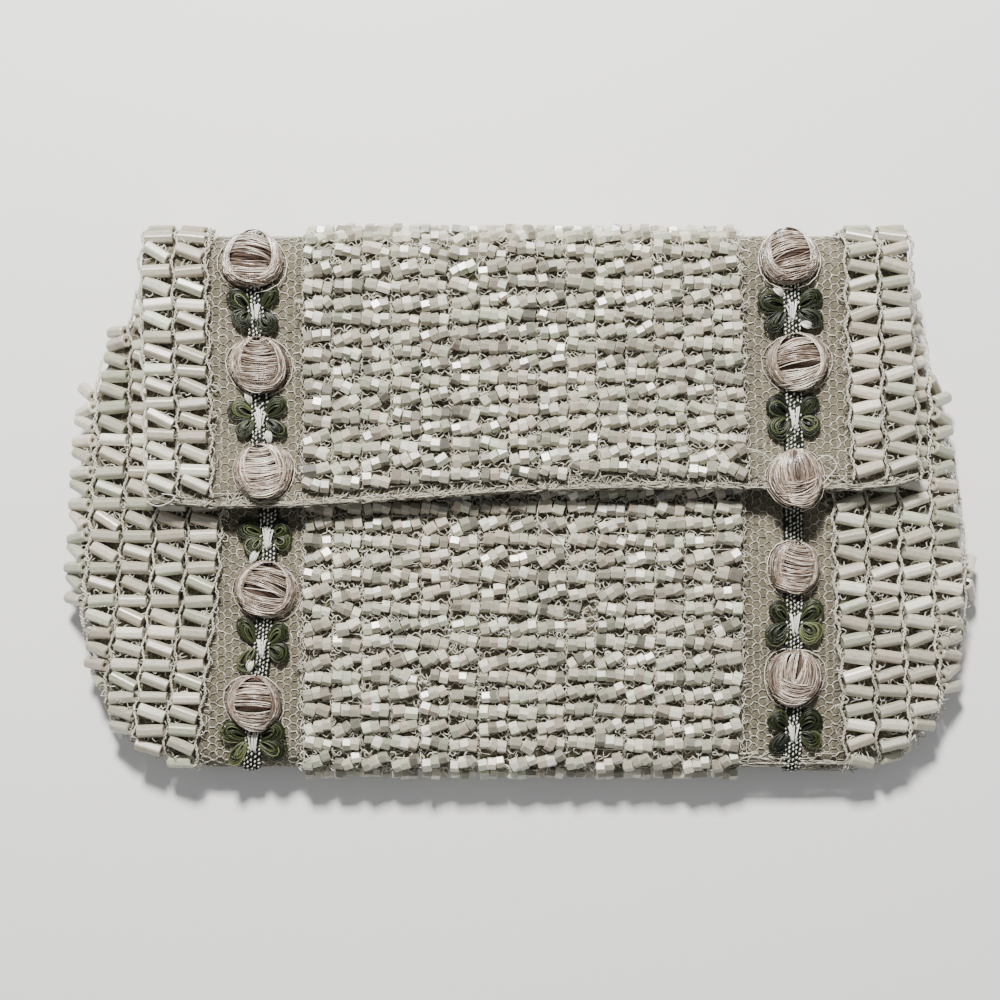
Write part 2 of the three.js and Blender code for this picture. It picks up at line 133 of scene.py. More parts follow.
# The edges of the middle field of beads, and where the long beads start, in the same shares.
CENTRE_FIELD = {
    "front": {"y": (1.3, -1.3), "left": (-0.478, -0.492), "right": (0.5, 0.492)},
    "flap": {"y": (1.3, -0.1), "left": (-0.478, -0.485), "right": (0.472, 0.504)},
    "back": {"y": (1.3, -1.3), "left": (-0.478, -0.492), "right": (0.472, 0.492)},
}
BUGLE_FIELD = {
    "front": {
        "y": (1.3, 0.24, -0.36, -1.3),
        "left": (-0.655, -0.655, -0.682, -0.757),
        "right": (0.693, 0.693, 0.702, 0.744),
    },
    "flap": {"y": (1.3, 0.8, -0.1), "left": (-0.694, -0.694, -0.68), "right": (0.714, 0.714, 0.737)},
    "back": {"y": (1.3, 0.8, -1.3), "left": (-0.694, -0.694, -0.74), "right": (0.714, 0.714, 0.735)},
}
FLAP_SIDES = {"y": (1.3, 0.8, -0.1), "left": (-0.839, -0.839, -0.821), "right": (0.854, 0.854, 0.882)}

# The flap's lower edge, in the same shares.
FLAP_EDGE = {
    "x": (-0.83, -0.69, -0.48, -0.26, 0.0, 0.26, 0.74, 0.82, 0.89),
    "y": (0.0, -0.019, -0.015, 0.011, 0.041, 0.052, 0.048, 0.059, 0.093),
}

# How the flap lies between its fold and its edge: y as a share of HALF_DEPTH, sag of FLAP_LIFT.
FLAP_SAG = {"y": (FOLD_Y / HALF_DEPTH, 0.6, 0.3, -0.1), "sag": (0.0, 0.25, 0.5, -0.6)}

# The trims of each sheet: the braid's line, the roses on it and their kinds, and the heights of its
# clusters of leaves.
TRIMS = {
    ("flap", "left"): {
        "braid": {"y": (1.3, 0.9, 0.5, -0.1), "x": (-0.6, -0.59, -0.582, -0.572)},
        "roses": {"x": (-0.594, -0.58, -0.57), "y": (0.909, 0.514, 0.114)},
        "kinds": "abb",
        "leaves": (0.715, 0.316),
    },
    ("flap", "right"): {
        "braid": {"y": (1.3, 0.9, 0.5, -0.1), "x": (0.585, 0.592, 0.602, 0.604)},
        "roses": {"x": (0.591, 0.61, 0.605), "y": (0.919, 0.526, 0.091)},
        "kinds": "aac",
        "leaves": (0.72, 0.32),
    },
    ("front", "left"): {
        "braid": {"y": (1.3, -0.1, -0.45, -1.02), "x": (-0.56, -0.566, -0.575, -0.61)},
        "roses": {"x": (-0.57, -0.598), "y": (-0.322, -0.748)},
        "kinds": "aa",
        "leaves": (-0.125, -0.535, -0.89),
    },
    ("front", "right"): {
        "braid": {"y": (1.3, -0.1, -0.5, -1.02), "x": (0.6, 0.61, 0.61, 0.61)},
        "roses": {"x": (0.611, 0.61), "y": (-0.241, -0.652)},
        "kinds": "bc",
        "leaves": (-0.447, -0.857),
    },
    ("back", "left"): {
        "braid": {"y": (1.3, 0.8, -0.3, -0.97), "x": (-0.6, -0.585, -0.575, -0.61)},
        "roses": {"x": (-0.582, -0.578, -0.574, -0.592), "y": (0.62, 0.22, -0.2, -0.63)},
        "kinds": "abcb",
        "leaves": (0.42, 0.01, -0.415, -0.83),
    },
    ("back", "right"): {
        "braid": {"y": (1.3, 0.8, -0.3, -0.97), "x": (0.585, 0.592, 0.6, 0.61)},
        "roses": {"x": (0.594, 0.597, 0.6, 0.605), "y": (0.62, 0.22, -0.2, -0.63)},
        "kinds": "bacb",
        "leaves": (0.42, 0.01, -0.415, -0.83),
    },
}


def unit(vectors):
    return vectors / np.linalg.norm(vectors, axis=-1, keepdims=True)


def rotated(x, y, turn):
    """Points turned anticlockwise by an angle."""
    return x * np.cos(turn) - y * np.sin(turn), x * np.sin(turn) + y * np.cos(turn)


def turning(angle):
    """The matrix that turns rows of points anticlockwise about z."""
    cos, sin = math.cos(angle), math.sin(angle)
    return np.array([[cos, sin, 0], [-sin, cos, 0], [0, 0, 1]])


def across_at(table, column, y):
    """A column of a table at heights y in millimetres, as millimetres across."""
    rows = np.array(table["y"][::-1]) * HALF_DEPTH
    return np.interp(y, rows, np.array(table[column][::-1]) * HALF_WIDTH)


def between(table, y, share):
    """A share of the way from a table's left to its right, at heights y."""
    left, right = (across_at(table, word, y) for word in SIDES.values())
    return left + (right - left) * share


def flap_edge(x):
    return np.interp(x, np.array(FLAP_EDGE["x"]) * HALF_WIDTH, np.array(FLAP_EDGE["y"]) * HALF_DEPTH)


def smoothed(line, width):
    """A line of points again, each the mean of its neighbours."""
    ends = [np.repeat(line[:1], width, axis=0), line, np.repeat(line[-1:], width, axis=0)]
    padded = np.concatenate(ends)
    kernel = np.hanning(2 * width + 3)[1:-1]
    kernel /= kernel.sum()
    return np.stack([np.convolve(padded[:, k], kernel, "valid") for k in range(line.shape[1])], axis=1)


def spaced(line, step):
    """A line of points again, evenly spaced."""
    along = np.concatenate([[0], np.cumsum(np.linalg.norm(np.diff(line, axis=0), axis=1))])
    at = np.linspace(0, along[-1], int(along[-1] / step) + 2)
    return np.stack([np.interp(at, along, line[:, k]) for k in range(line.shape[1])], axis=1)


def pouch_edge():
    """The inset line where the pouch's face turns into its side, and its outward normals."""
    y = np.array(POUCH_OUTLINE["y"]) * HALF_DEPTH
    left, right = (np.stack([across_at(POUCH_OUTLINE, word, y), y], axis=1) for word in SIDES.values())
    line = smoothed(spaced(np.concatenate([left, right[::-1]]), 1.0), 4)
    along = unit(np.gradient(line, axis=0))
    outward = np.stack([along[:, 1], -along[:, 0]], axis=1)
    return line - outward * EDGE_ROUND, outward


EDGE_LINE, EDGE_NORMALS = pouch_edge()


def past_edge(x, y):
    """How far points lie outside the pouch's inset line, and their foot on it and its normal."""
    points = np.stack(np.broadcast_arrays(x, y), axis=-1).reshape(-1, 2).astype(float)
    nearest = np.empty(len(points), int)
    chunk = 4000
    for start in range(0, len(points), chunk):
        some = points[start : start + chunk]
        away = ((some[:, None, :] - EDGE_LINE[None]) ** 2).sum(axis=2)
        nearest[start : start + chunk] = away.argmin(axis=1)
    normal = EDGE_NORMALS[nearest]
    distance = ((points - EDGE_LINE[nearest]) * normal).sum(axis=1)
    return distance, points - normal * distance[:, None], normal


def ripple(x, y):
    """The slight unevenness of cloth that beads pull down."""
    slow = 0.16 * np.sin(x / 13.0 + 0.7) * np.sin(y / 11.0 + 0.4)
    quick = 0.09 * np.sin(x / 5.3 + y / 8.7) + 0.07 * np.sin(y / 4.1 - x / 9.3 + 1.0)
    return slow + quick


def front_at(x, y):
    """The front panel's outer face over its flat pattern: places and outward directions."""
    shape = np.broadcast(x, y).shape
    distance, foot, normal = past_edge(x, y)
    run = CROWN_REACH - EDGE_ROUND
    inside = np.clip(-distance / run, 0, 1)
    angle = np.clip(distance / EDGE_ROUND, 0, math.pi / 2)
    drop = np.clip(distance - ROUND_END, 0, None)
    out = np.where(distance > 0, EDGE_ROUND * np.sin(angle), distance)
    height = FACE_EDGE - EDGE_ROUND * (1 - np.cos(angle)) - drop
    height = height + CROWN * (1 - (1 - inside) ** 2)
    flat = foot + normal * out[:, None]
    height = height + np.clip(inside * 6, 0, 1) * ripple(flat[:, 0], flat[:, 1])
    slope = np.where(distance > 0, np.tan(np.minimum(angle, 1.5)), 2 * CROWN * (1 - inside) / run)
    outward = unit(np.concatenate([normal * slope[:, None], np.ones((len(slope), 1))], axis=1))
    places = np.concatenate([flat, height[:, None]], axis=1)
    return places.reshape(*shape, 3), outward.reshape(*shape, 3)


def bent_at(x, y, side):
    """The back strip round the fold and beyond it: side is 1 for the flap, -1 for the back."""
    x, y = np.broadcast_arrays(np.asarray(x, float), np.asarray(y, float))
    angle = np.clip((y - FOLD_Y) / FOLD_RADIUS, 0, None)
    place_y = np.where(y > FOLD_Y, FOLD_Y + FOLD_RADIUS * np.sin(angle), y)
    place_z = FOLD_Z + side * FOLD_RADIUS * np.cos(angle)
    outward = np.stack([np.zeros_like(x), np.sin(angle), side * np.cos(angle)], axis=-1)
    return np.stack([x, place_y, place_z], axis=-1), outward


def flap_height(x, y):
    """How far the flap's face lies under the top of its fold."""
    rows = np.array(FLAP_SAG["y"][::-1]) * HALF_DEPTH
    sag = np.array(FLAP_SAG["sag"][::-1]) * FLAP_LIFT
    blurred = sum(np.interp(y + shift, rows, sag) for shift in (-5, -2.5, 0, 2.5, 5)) / 5
    loose = np.clip((FOLD_Y - y) / 30, 0, 1)
    wave = 0.3 * np.sin(x / 17.0 + 1.1) + 0.14 * np.sin(x / 6.1)
    return -blurred * np.clip((FOLD_Y - y) / 8, 0, 1) + loose * (wave * loose + ripple(x, y + 40))


def flap_at(x, y):
    places, outward = bent_at(x, y, 1)
    step = 0.5
    places[..., 2] += flap_height(x, y)
    flat = np.asarray(y) < FOLD_Y
    rise_x = (flap_height(x + step, y) - flap_height(x - step, y)) / (2 * step)
    rise_y = (flap_height(x, y + step) - flap_height(x, y - step)) / (2 * step)
    outward[..., 0] -= np.where(flat, rise_x, 0)
    outward[..., 1] -= np.where(flat, rise_y, 0)
    return places, unit(outward)


def back_at(x, y):
    return bent_at(x, y, -1)


SHEETS = {"front": front_at, "flap": flap_at, "back": back_at}

# How much of the cloth keeps its lit colour, from 0 to 1, among the short beads and among the long ones;
# the rest is painted shade.
LIT_SHARE_AMONG_SEEDS = 0.85
LIT_SHARE_AMONG_BUGLES = 0.6


def bare(sheet, x, y):
    """1 in the bare bands beside the trims and along the hem, and less under the beads: the share of lit
    cloth colour, the rest being painted shade.
    """
    middle = x > across_at(CENTRE_FIELD[sheet], "left", y)
    middle &= x < across_at(CENTRE_FIELD[sheet], "right", y)
    share = np.where(middle, LIT_SHARE_AMONG_SEEDS, LIT_SHARE_AMONG_BUGLES)
    for side, word in SIDES.items():
        near = side * across_at(CENTRE_FIELD[sheet], word, y)
        far = side * across_at(BUGLE_FIELD[sheet], word, y)
        share = np.maximum(share, np.clip(side * x - near, 0, 1) * np.clip(far - side * x, 0, 1))
    if sheet == "flap":
        share = np.maximum(share, np.clip(flap_edge(x) + HEM - y, 0, 1))
    return share


def lifted(at, x, y, height):
    """Places at a height over a sheet, and the directions out of it."""
    places, outward = at(x, y)
    return places + outward * np.asarray(height)[..., None], outward


def frames(at, x, y, turn, height):
    """Places over a sheet, and the directions along, across and out of it for pieces turned by turn."""
    step = 0.3
    x, y, turn, height = (np.asarray(v, float) for v in np.broadcast_arrays(x, y, turn, height))
    places, outward = lifted(at, x, y, height)
    ahead, _ = at(x + step * np.cos(turn), y + step * np.sin(turn))
    behind, _ = at(x - step * np.cos(turn), y - step * np.sin(turn))
    across = unit(np.cross(outward, ahead - behind))
    return places, np.stack([np.cross(across, outward), across, outward], axis=-2)


def rigid_frames(at, side, x, y, turn, length, height):
    """Long beads on a sheet, each laid straight from its inner end, and steeper past the pouch's edge."""
    half_x = side * length / 2 * np.cos(turn)
    half_y = side * length / 2 * np.sin(turn)
    inner, _ = lifted(at, x - half_x, y - half_y, height)
    outer, _ = lifted(at, x + half_x, y + half_y, height)
    way = outer - inner
    level = np.hypot(way[:, 0], way[:, 1])
    past, _, _ = past_edge(x - half_x, y - half_y)
    limit = STEEPEST_BEAD * (0.6 + 0.4 * np.clip(past / EDGE_ROUND, 0, 1))
    drop = np.clip(np.arctan2(-way[:, 2], level), -limit, limit)
    flat = way[:, :2] / level[:, None] * np.cos(drop)[:, None]
    along = np.concatenate([flat, -np.sin(drop)[:, None]], axis=1)
    _, outward = at(x, y)
    across = unit(np.cross(outward, along))
    directions = np.stack([along, across, np.cross(along, across)], axis=1)
    return inner + along * length[:, None] / 2, directions


class Heap:
    """Faces gathered for one mesh, with a tint and the coordinates of its grain at each point."""

    def __init__(self):
        self.points = []
        self.faces = []
        self.tints = []
        self.grains = []
        self.count = 0

    def add(self, points, faces, tint=MIDDLING, grain=None):
        points = np.reshape(points, (-1, 3))
        self.points.append(points)
        self.faces.extend(np.asarray(rows) + self.count for rows in faces)
        self.tints.append(np.broadcast_to(tint, points.shape))
        self.grains.append(points if grain is None else np.broadcast_to(grain, points.shape))
        self.count += len(points)


def begin(seed):
    """An empty heap, and the random draws for what goes in it."""
    return Heap(), np.random.default_rng(seed)


def make(heap, name, material, nodes=(), smooth=True):
    """A heap as one shown piece that rides on the purse."""
    mesh = bpy.data.meshes.new(name)
    points = np.concatenate(heap.points) * MM
    corners = np.concatenate([rows.ravel() for rows in heap.faces])
    sizes = np.concatenate([np.full(len(rows), rows.shape[1]) for rows in heap.faces])
    mesh.vertices.add(len(points))
    mesh.vertices.foreach_set("co", points.ravel().astype(np.float32))
    mesh.loops.add(len(corners))
    mesh.loops.foreach_set("vertex_index", corners.astype(np.int32))
    mesh.polygons.add(len(sizes))
    mesh.polygons.foreach_set("loop_start", (np.cumsum(sizes) - sizes).astype(np.int32))
    mesh.polygons.foreach_set("use_smooth", np.full(len(sizes), smooth))
    mesh.update(calc_edges=True)
    colours = np.concatenate([np.concatenate(heap.tints), np.ones((len(points), 1))], axis=1)
    grains = np.concatenate(heap.grains)
    layers = (("tint", "FLOAT_COLOR", "color", colours), ("grain", "FLOAT_VECTOR", "vector", grains))
    for layer, kind, field, values in layers:
        made = mesh.attributes.new(layer, kind, "POINT")
        made.data.foreach_set(field, values.ravel().astype(np.float32))
    mesh.validate()
    mesh.materials.append(material)
    piece = linked(name, mesh)
    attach(piece, BODY)
    if nodes:
        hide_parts(*nodes)
    return piece


def linked(name, data):
    """A new object in the scene."""
    made = bpy.data.objects.new(name, data)
    bpy.context.scene.collection.objects.link(made)
    return made


def walls(index):
    """The quads between rings of points, which the last two axes of index hold."""
    turned = np.roll(index, -1, axis=-1)
    quads = [index[..., :-1, :], turned[..., :-1, :], turned[..., 1:, :], index[..., 1:, :]]
    return np.stack(quads, axis=-1).reshape(-1, 4)


def tubes(heap, paths, radius, up, sides=3, tint=MIDDLING):
    """Thin tubes along lines of equally many points, closed at both ends."""
    paths = np.asarray(paths, float)
    lines, count, _ = paths.shape
    along = unit(np.gradient(paths, axis=1))
    side = unit(np.cross(along, np.broadcast_to(up, paths.shape)))
    over = np.cross(side, along)
    angles = 2 * math.pi * (np.arange(sides) + 0.5) / sides - math.pi / 2
    radius = np.broadcast_to(radius, (lines, count))[..., None, None]
    ring = side[:, :, None] * np.cos(angles)[:, None] + over[:, :, None] * np.sin(angles)[:, None]
    points = paths[:, :, None] + radius * ring
    index = np.arange(lines * count * sides).reshape(lines, count, sides)
    faces = [walls(index), index[:, 0, ::-1], index[:, -1]]
    steps = np.linalg.norm(np.diff(paths, axis=1), axis=2)
    length = np.concatenate([np.zeros((lines, 1)), np.cumsum(steps, axis=1)], axis=1)
    grain = np.empty((lines, count, sides, 3))
    grain[..., 0] = length[..., None]
    grain[..., 1] = np.arange(sides)
    grain[..., 2] = np.arange(lines)[:, None, None]
    tint = np.asarray(tint, float)
    if tint.ndim == 2:
        tint = np.repeat(tint, count * sides, axis=0)
    heap.add(points, faces, tint, grain.reshape(-1, 3))


def barrel(angles, rings, holed):
    """A bead: its section's angles, and rings of x and radius round its wall, or on through its hole."""
    points = [(x, r * math.cos(a), r * math.sin(a)) for x, r in rings for a in np.radians(angles)]
    index = np.arange(len(points)).reshape(len(rings), len(angles))
    if holed:
        return np.array(points), [walls(np.concatenate([index, index[:1]]))]
    return np.array(points), [walls(index), index[:1, ::-1], index[-1:]]


HEXAGON = [60 * k for k in range(6)]
SEED_RINGS = [(-0.5, 0.87), (-0.44, 1), (0.44, 1), (0.5, 0.87)]
BUGLE_RINGS = [(-0.49, 0.4), (-0.5, 0.86), (-0.475, 1), (0.475, 1), (0.5, 0.86), (0.49, 0.4)]
SEED = barrel(HEXAGON, SEED_RINGS, holed=False)
BUGLE = barrel([corner + step for corner in HEXAGON for step in (-8, 8)], BUGLE_RINGS, holed=True)
BACK_BUGLE = barrel(HEXAGON, BUGLE_RINGS, holed=True)


def add_copies(heap, faces, local, spots, tint, grain=None):
    """Copies of a shape at spots, which are places and directions, each with its own local points."""
    places, directions = spots
    placed = places[:, None] + np.einsum("npk,nkc->npc", local, directions)
    start = (np.arange(len(places)) * local.shape[1])[:, None, None]
    faces = [(rows[None] + start).reshape(-1, rows.shape[1]) for rows in faces]
    heap.add(placed, faces, tint.reshape(-1, 3), grain)


def lay_beads(heap, rng, bead, spots, sizes, nod, spread, loose, level):
    """Beads at spots: each nods a little and lies nearly facet up, but a share of them lie anyhow."""
    points, faces = bead
    places, directions = spots
    length, radius = sizes
    count = len(places)
    out, along = rotated(directions[:, 2], directions[:, 0], rng.normal(0, nod, count)[:, None])
    spots = (places, np.stack([along, directions[:, 1], out], axis=1))
    anyhow = rng.random(count) * math.pi / 3
    spin = np.where(rng.random(count) < loose, anyhow, rng.normal(0, spread, count))
    x = points[:, 0] * length[:, None]
    y, z = rotated(points[:, 1], points[:, 2], spin[:, None])
    local = np.stack([x, y * radius[:, None], z * radius[:, None]], axis=-1)
    around = np.arctan2(points[:, 2], points[:, 1])
    grain = np.stack(np.broadcast_arrays(x, around, np.arange(count)[:, None]), axis=-1)
    # Each bead's ends get a paler tint: a painted highlight where light catches their rims.
    painted_rim_highlight = np.where(np.abs(points[:, 0]) > 0.46, 0.4, 0)[:, None] * [1, 0, 0]
    tint = glass_tints(rng, count, level)[:, None, :] + painted_rim_highlight
    add_copies(heap, faces, local, spots, tint, grain.reshape(-1, 3))


def glass_tints(rng, count, level):
    """Lightness, warmth and cloudiness for each bead: a tenth are painted paler, painted highlights
    standing in for flashing facets, and a twentieth darker.
    """
    # A tenth of the beads are painted paler: painted highlights in place of facets that flash.
    light = rng.normal(level, 0.15, count) + 0.42 * (rng.random(count) < 0.1)
    light = np.clip(np.where(rng.random(count) < 0.05, light * 0.6, light), 0.08, 0.85)
    return np.stack([light, rng.random(count), rng.random(count)], axis=1)


def centre_line(sheet, y, share):
    return between(CENTRE_FIELD[sheet], y, share)


def bugle_line(sheet, side, y, column):
    return across_at(BUGLE_FIELD[sheet], SIDES[side], y) + side * column * BUGLE_PITCH


def field_ends(sheet, x):
    """The heights y of the lower and upper end of a middle field, in the column at x."""
    if sheet == "flap":
        return flap_edge(x) + HEM, FOLD_MIDDLE
    if sheet == "front":
        return FRONT_FOOT, FRONT_BEADS_TOP
    return -HALF_DEPTH - 1, FOLD_MIDDLE


SEED_RUNGS = {"front": 21, "flap": 17, "back": 34}
# The lean of every second rung of short beads, in degrees, and of the rungs between them.
SEED_LEAN = (-9, 17)
PAIRED_RUNGS = 0.06
# Where beads have come off the front, as x and y, and how far round.
LOST_BEADS = ((8.2, -6.0), (14.4, -25.2), (-21.5, -38.0), (36.0, -47.5))
LOST_REACH = 1.9


def centre_beads(sheet, seed):
    """The middle field of one sheet: columns of rungs of short beads, leaning to and fro."""
    heap, rng = begin(seed)
    rows = SEED_RUNGS[sheet]
    x, y, turn, length = [], [], [], []
    for column in range(CENTRE_COLUMNS):
        across = (column + 0.5) / CENTRE_COLUMNS
        low, high = field_ends(sheet, centre_line(sheet, 0, across))
        for row in range(rows):
            height = high - (row + 0.5) / rows * (high - low)
            height += rng.normal(0, 0.2) + 0.25 * math.sin(0.9 * column + 0.35 * row)
            lean = math.radians(SEED_LEAN[row % 2] + rng.normal(0, 4.5))
            centre = centre_line(sheet, height, across) + rng.normal(0, 0.15)
            number, each = (2, PAIRED_SEED_LENGTH) if rng.random() < PAIRED_RUNGS else (3, SEED_LENGTH)
            for bead in range(number):
                offset = (bead - (number - 1) / 2) * (each + 0.01)
                x.append(centre + offset * math.cos(lean) + rng.normal(0, 0.04))
                y.append(height + offset * math.sin(lean) + rng.normal(0, 0.18))
                turn.append(lean + rng.normal(0, 0.15))
                length.append(each * (1 + rng.normal(0, 0.05)))
    x, y, turn, length = (np.array(v) for v in (x, y, turn, length))
    if sheet == "front":
        kept = np.all([np.hypot(x - hx, y - hy) > LOST_REACH for hx, hy in LOST_BEADS], axis=0)
        x, y, turn, length = (v[kept] for v in (x, y, turn, length))
    radius = SEED_RADIUS * (1 + rng.normal(0, 0.07, len(x)))
    spots = frames(SHEETS[sheet], x, y, turn, bead_height(sheet, radius))
    nod = 0.03 if sheet == "back" else 0.09
    lay_beads(heap, rng, SEED, spots, (length, radius), nod, spread=0.22, loose=0.4, level=0.5)
    return heap


def bead_height(sheet, radius):
    """How high a bead's hole is over the cloth: the purse's weight presses those of the back into it."""
    return LAYER - radius if sheet == "back" else radius + 0.08


BUGLE_RUNGS = {"front": {-1: 31, 1: 29}, "flap": {-1: 17, 1: 17}, "back": {-1: 33, 1: 33}}
BUGLE_COLUMNS = {"front": 5, "flap": 2, "back": 5}
# The lean of the long beads in degrees, in turn, on the left and on the right.
BUGLE_LEAN = {-1: (-21, 2), 1: (17, -11)}


def bugle_beads(sheet, side, seed):
    """One side's columns of long beads, every second rung leaning the other way."""
    heap, rng = begin(seed)
    high = MOUTH_Y if sheet == "front" else FOLD_MIDDLE
    low = FRONT_FOOT if sheet == "front" else -HALF_DEPTH
    rows = BUGLE_RUNGS[sheet][side]
    x, y, turn = [], [], []
    for column in range(BUGLE_COLUMNS[sheet]):
        if sheet == "flap":
            low = flap_edge(bugle_line(sheet, side, 0, column + 0.5)) + HEM
        for row in range(rows):
            height = high - (row + 0.5) / rows * (high - low) + rng.normal(0, 0.12)
            x.append(bugle_line(sheet, side, height, column + 0.5) + rng.normal(0, 0.1))
            y.append(height)
            turn.append(math.radians(BUGLE_LEAN[side][row % 2] + rng.normal(0, 3.2)))
    x, y, turn = (np.array(v) for v in (x, y, turn))
    half = side * BUGLE_LENGTH / 2
    inner, _, _ = past_edge(x - half * np.cos(turn), y - half * np.sin(turn))
    middle, _, _ = past_edge(x, y)
    outer, _, _ = past_edge(x + half * np.cos(turn), y + half * np.sin(turn))
    if sheet == "front":
        kept = (inner < EDGE_ROUND + 0.2) & (middle < ROUND_END + 0.8)
    else:
        kept = (outer < EDGE_ROUND + 1.2) | (sheet == "flap")
    x, y, turn = (v[kept] for v in (x, y, turn))
    count = len(x)
    radius = BUGLE_RADIUS * (1 + rng.normal(0, 0.03, count))
    length = BUGLE_LENGTH * (1 + rng.normal(0, 0.015, count))
    height = bead_height(sheet, radius)
    spots = rigid_frames(SHEETS[sheet], side, x, y, turn, length, height)
    bead = BACK_BUGLE if sheet == "back" else BUGLE
    lay_beads(heap, rng, bead, spots, (length, radius), 0.03, spread=0.18, loose=0.25, level=0.07)
    return heap


# How far from the middle the trims lie.
TRIM_X = 55.0


def band_ends(sheet, side, hem=0.0):
    """The heights y that a sheet's bands run between on one side, from a share of the flap's hem up."""
    if sheet == "flap":
        return flap_edge(side * TRIM_X) + 0.4 + HEM * hem, FOLD_MIDDLE
    if sheet == "front":
        return FRONT_FOOT, FRONT_BANDS_TOP
    return -HALF_DEPTH, FOLD_MIDDLE


def strand_tints(rng, count, light=0.5, spread=0.15):
    """Lightness for each thread, and two values that its material leaves alone."""
    tint = rng.random((count, 3))
    tint[:, 0] = np.clip(rng.normal(light, spread, count), 0, 1)
    return tint


def net_sides(side, low, high):
    """The sides of all hexagons of the net that lie near one band, as pairs of ends on the pattern."""
    nearest, furthest = 40.0, 76.0
    across = 1.5 * NET_SIDE
    columns = np.arange(int(nearest / across), int(furthest / across) + 2)
    rows = np.arange(int(low / NET_PITCH) - 1, int(high / NET_PITCH) + 2)
    column, row = (v.ravel() for v in np.meshgrid(columns, rows))
    centre_x = side * across * column
    centre_y = NET_PITCH * (row + 0.5 * (column % 2))
    ends = []
    for first in (0, 60, 120):
        edge = np.radians([first, first + 60])
        x = centre_x[:, None] + NET_SIDE * np.cos(edge)
        y = centre_y[:, None] + NET_SIDE * np.sin(edge)
        ends.append(np.stack([x, y], axis=-1))
    return np.concatenate(ends)


def net_wander(x, y):
    """How far the net is drawn out of true, as x and y."""
    across = 0.17 * np.sin(2.3 * x + 1.1 * y) + 0.1 * np.sin(5.9 * y - 2.1 * x) + 0.35 * np.sin(y / 7.0)
    along = 0.17 * np.sin(1.9 * y - 2.7 * x + 1.0) + 0.1 * np.sin(6.3 * x + 0.9 * y)
    return np.stack([across, along], axis=-1)


def net_band(sheet, side, seed):
    """The bare net beside a trim: threads along the sides of hexagons, with soft corners."""
    heap, rng = begin(seed)
    low, high = band_ends(sheet, side)
    ends = net_sides(side, low, high)
    ends = ends + net_wander(ends[..., 0], ends[..., 1])
    middle = ends.mean(axis=1)
    start = across_at(CENTRE_FIELD[sheet], SIDES[side], middle[:, 1])
    bounds = np.sort(np.stack([start, bugle_line(sheet, side, middle[:, 1], 0)]), axis=0)
    kept = (middle[:, 0] > bounds[0] + 0.1) & (middle[:, 0] < bounds[1] - 0.1)
    kept &= (ends[..., 1].min(axis=1) > low) & (ends[..., 1].max(axis=1) < high)
    ends = ends[kept]
    share = np.array([-0.06, 1.06] if sheet == "back" else [-0.06, 0.5, 1.06])[:, None]
    path = ends[:, :1] * (1 - share) + ends[:, 1:] * share
    path = path + rng.normal(0, 0.07, path.shape) * np.sin(math.pi * np.clip(share, 0, 1))
    lift = 0.16 + 0.1 * rng.random(path.shape[:2])
    places, up = lifted(SHEETS[sheet], path[..., 0], path[..., 1], lift)
    radius = NET_RADIUS * (1 + rng.normal(0, 0.12, len(places)))[:, None]
    tubes(heap, places, radius, up, 3, strand_tints(rng, len(places), 0.45, 0.22))
    return heap


def thread_line(heap, rng, sheet, x, y, height, radius, light, spread=0.15):
    """One thread laid over a sheet along a line of pattern points."""
    places, up = lifted(SHEETS[sheet], x, y, height)
    tubes(heap, places[None], radius, up[None], 3, strand_tints(rng, 1, light, spread))


def smooth_noise(rng, count, width, size):
    line = rng.normal(0, 1, (count, 1))
    return smoothed(line, width)[:, 0] * size * math.sqrt(width)


def wave(run, length, phase=0.0):
    return np.sin(run * 2 * math.pi / length + phase)


def field_threads(sheet, seed):
    """The wavering chain stitches between the columns of a sheet's beads."""
    heap, rng = begin(seed)
    low, high = band_ends(sheet, 1, hem=0.6)
    y = np.arange(low, high, 1.0 if sheet == "back" else 0.7)
    for column in range(CENTRE_COLUMNS + 1):
        border = column in (0, CENTRE_COLUMNS)
        for strand in range(3 if border else 2):
            phase = rng.random() * 2 * math.pi + math.pi * strand
            sway = 0.34 * wave(y, STITCH_LENGTH, phase) + smooth_noise(rng, len(y), 5, 0.16)
            x = centre_line(sheet, y, column / CENTRE_COLUMNS) + sway
            if border:
                x += (strand - 1) * 0.35 * (-1 if column == 0 else 1)
            lift = 0.75 + smooth_noise(rng, len(y), 3, 0.3)
            thread_line(heap, rng, sheet, x, y, lift, THREAD_RADIUS, 0.55)
    return heap


def rung_threads(sheet, seed):
    """The tangled thread that fills the gaps between the rungs of the middle field."""
    heap, rng = begin(seed)
    rows = SEED_RUNGS[sheet]
    first = 0 if sheet == "flap" else 0.5
    for row in range(rows):
        for strand in (0, 0.5):
            x = centre_line(sheet, 0, np.arange(0.004, 0.996, 0.0075))
            low, high = field_ends(sheet, x)
            y = high - (first + row + strand) / rows * (high - low)
            y = y + 0.5 * wave(x, 2.4, rng.random() * 6) + smooth_noise(rng, len(x), 3, 0.25)
            lift = 1.0 + smooth_noise(rng, len(x), 2, 0.3)
            kept = smooth_noise(rng, len(x), 4, 1.0) > -0.9
            thread_line(heap, rng, sheet, x[kept], y[kept], lift[kept], GARLAND_RADIUS, 0.75)
    return heap


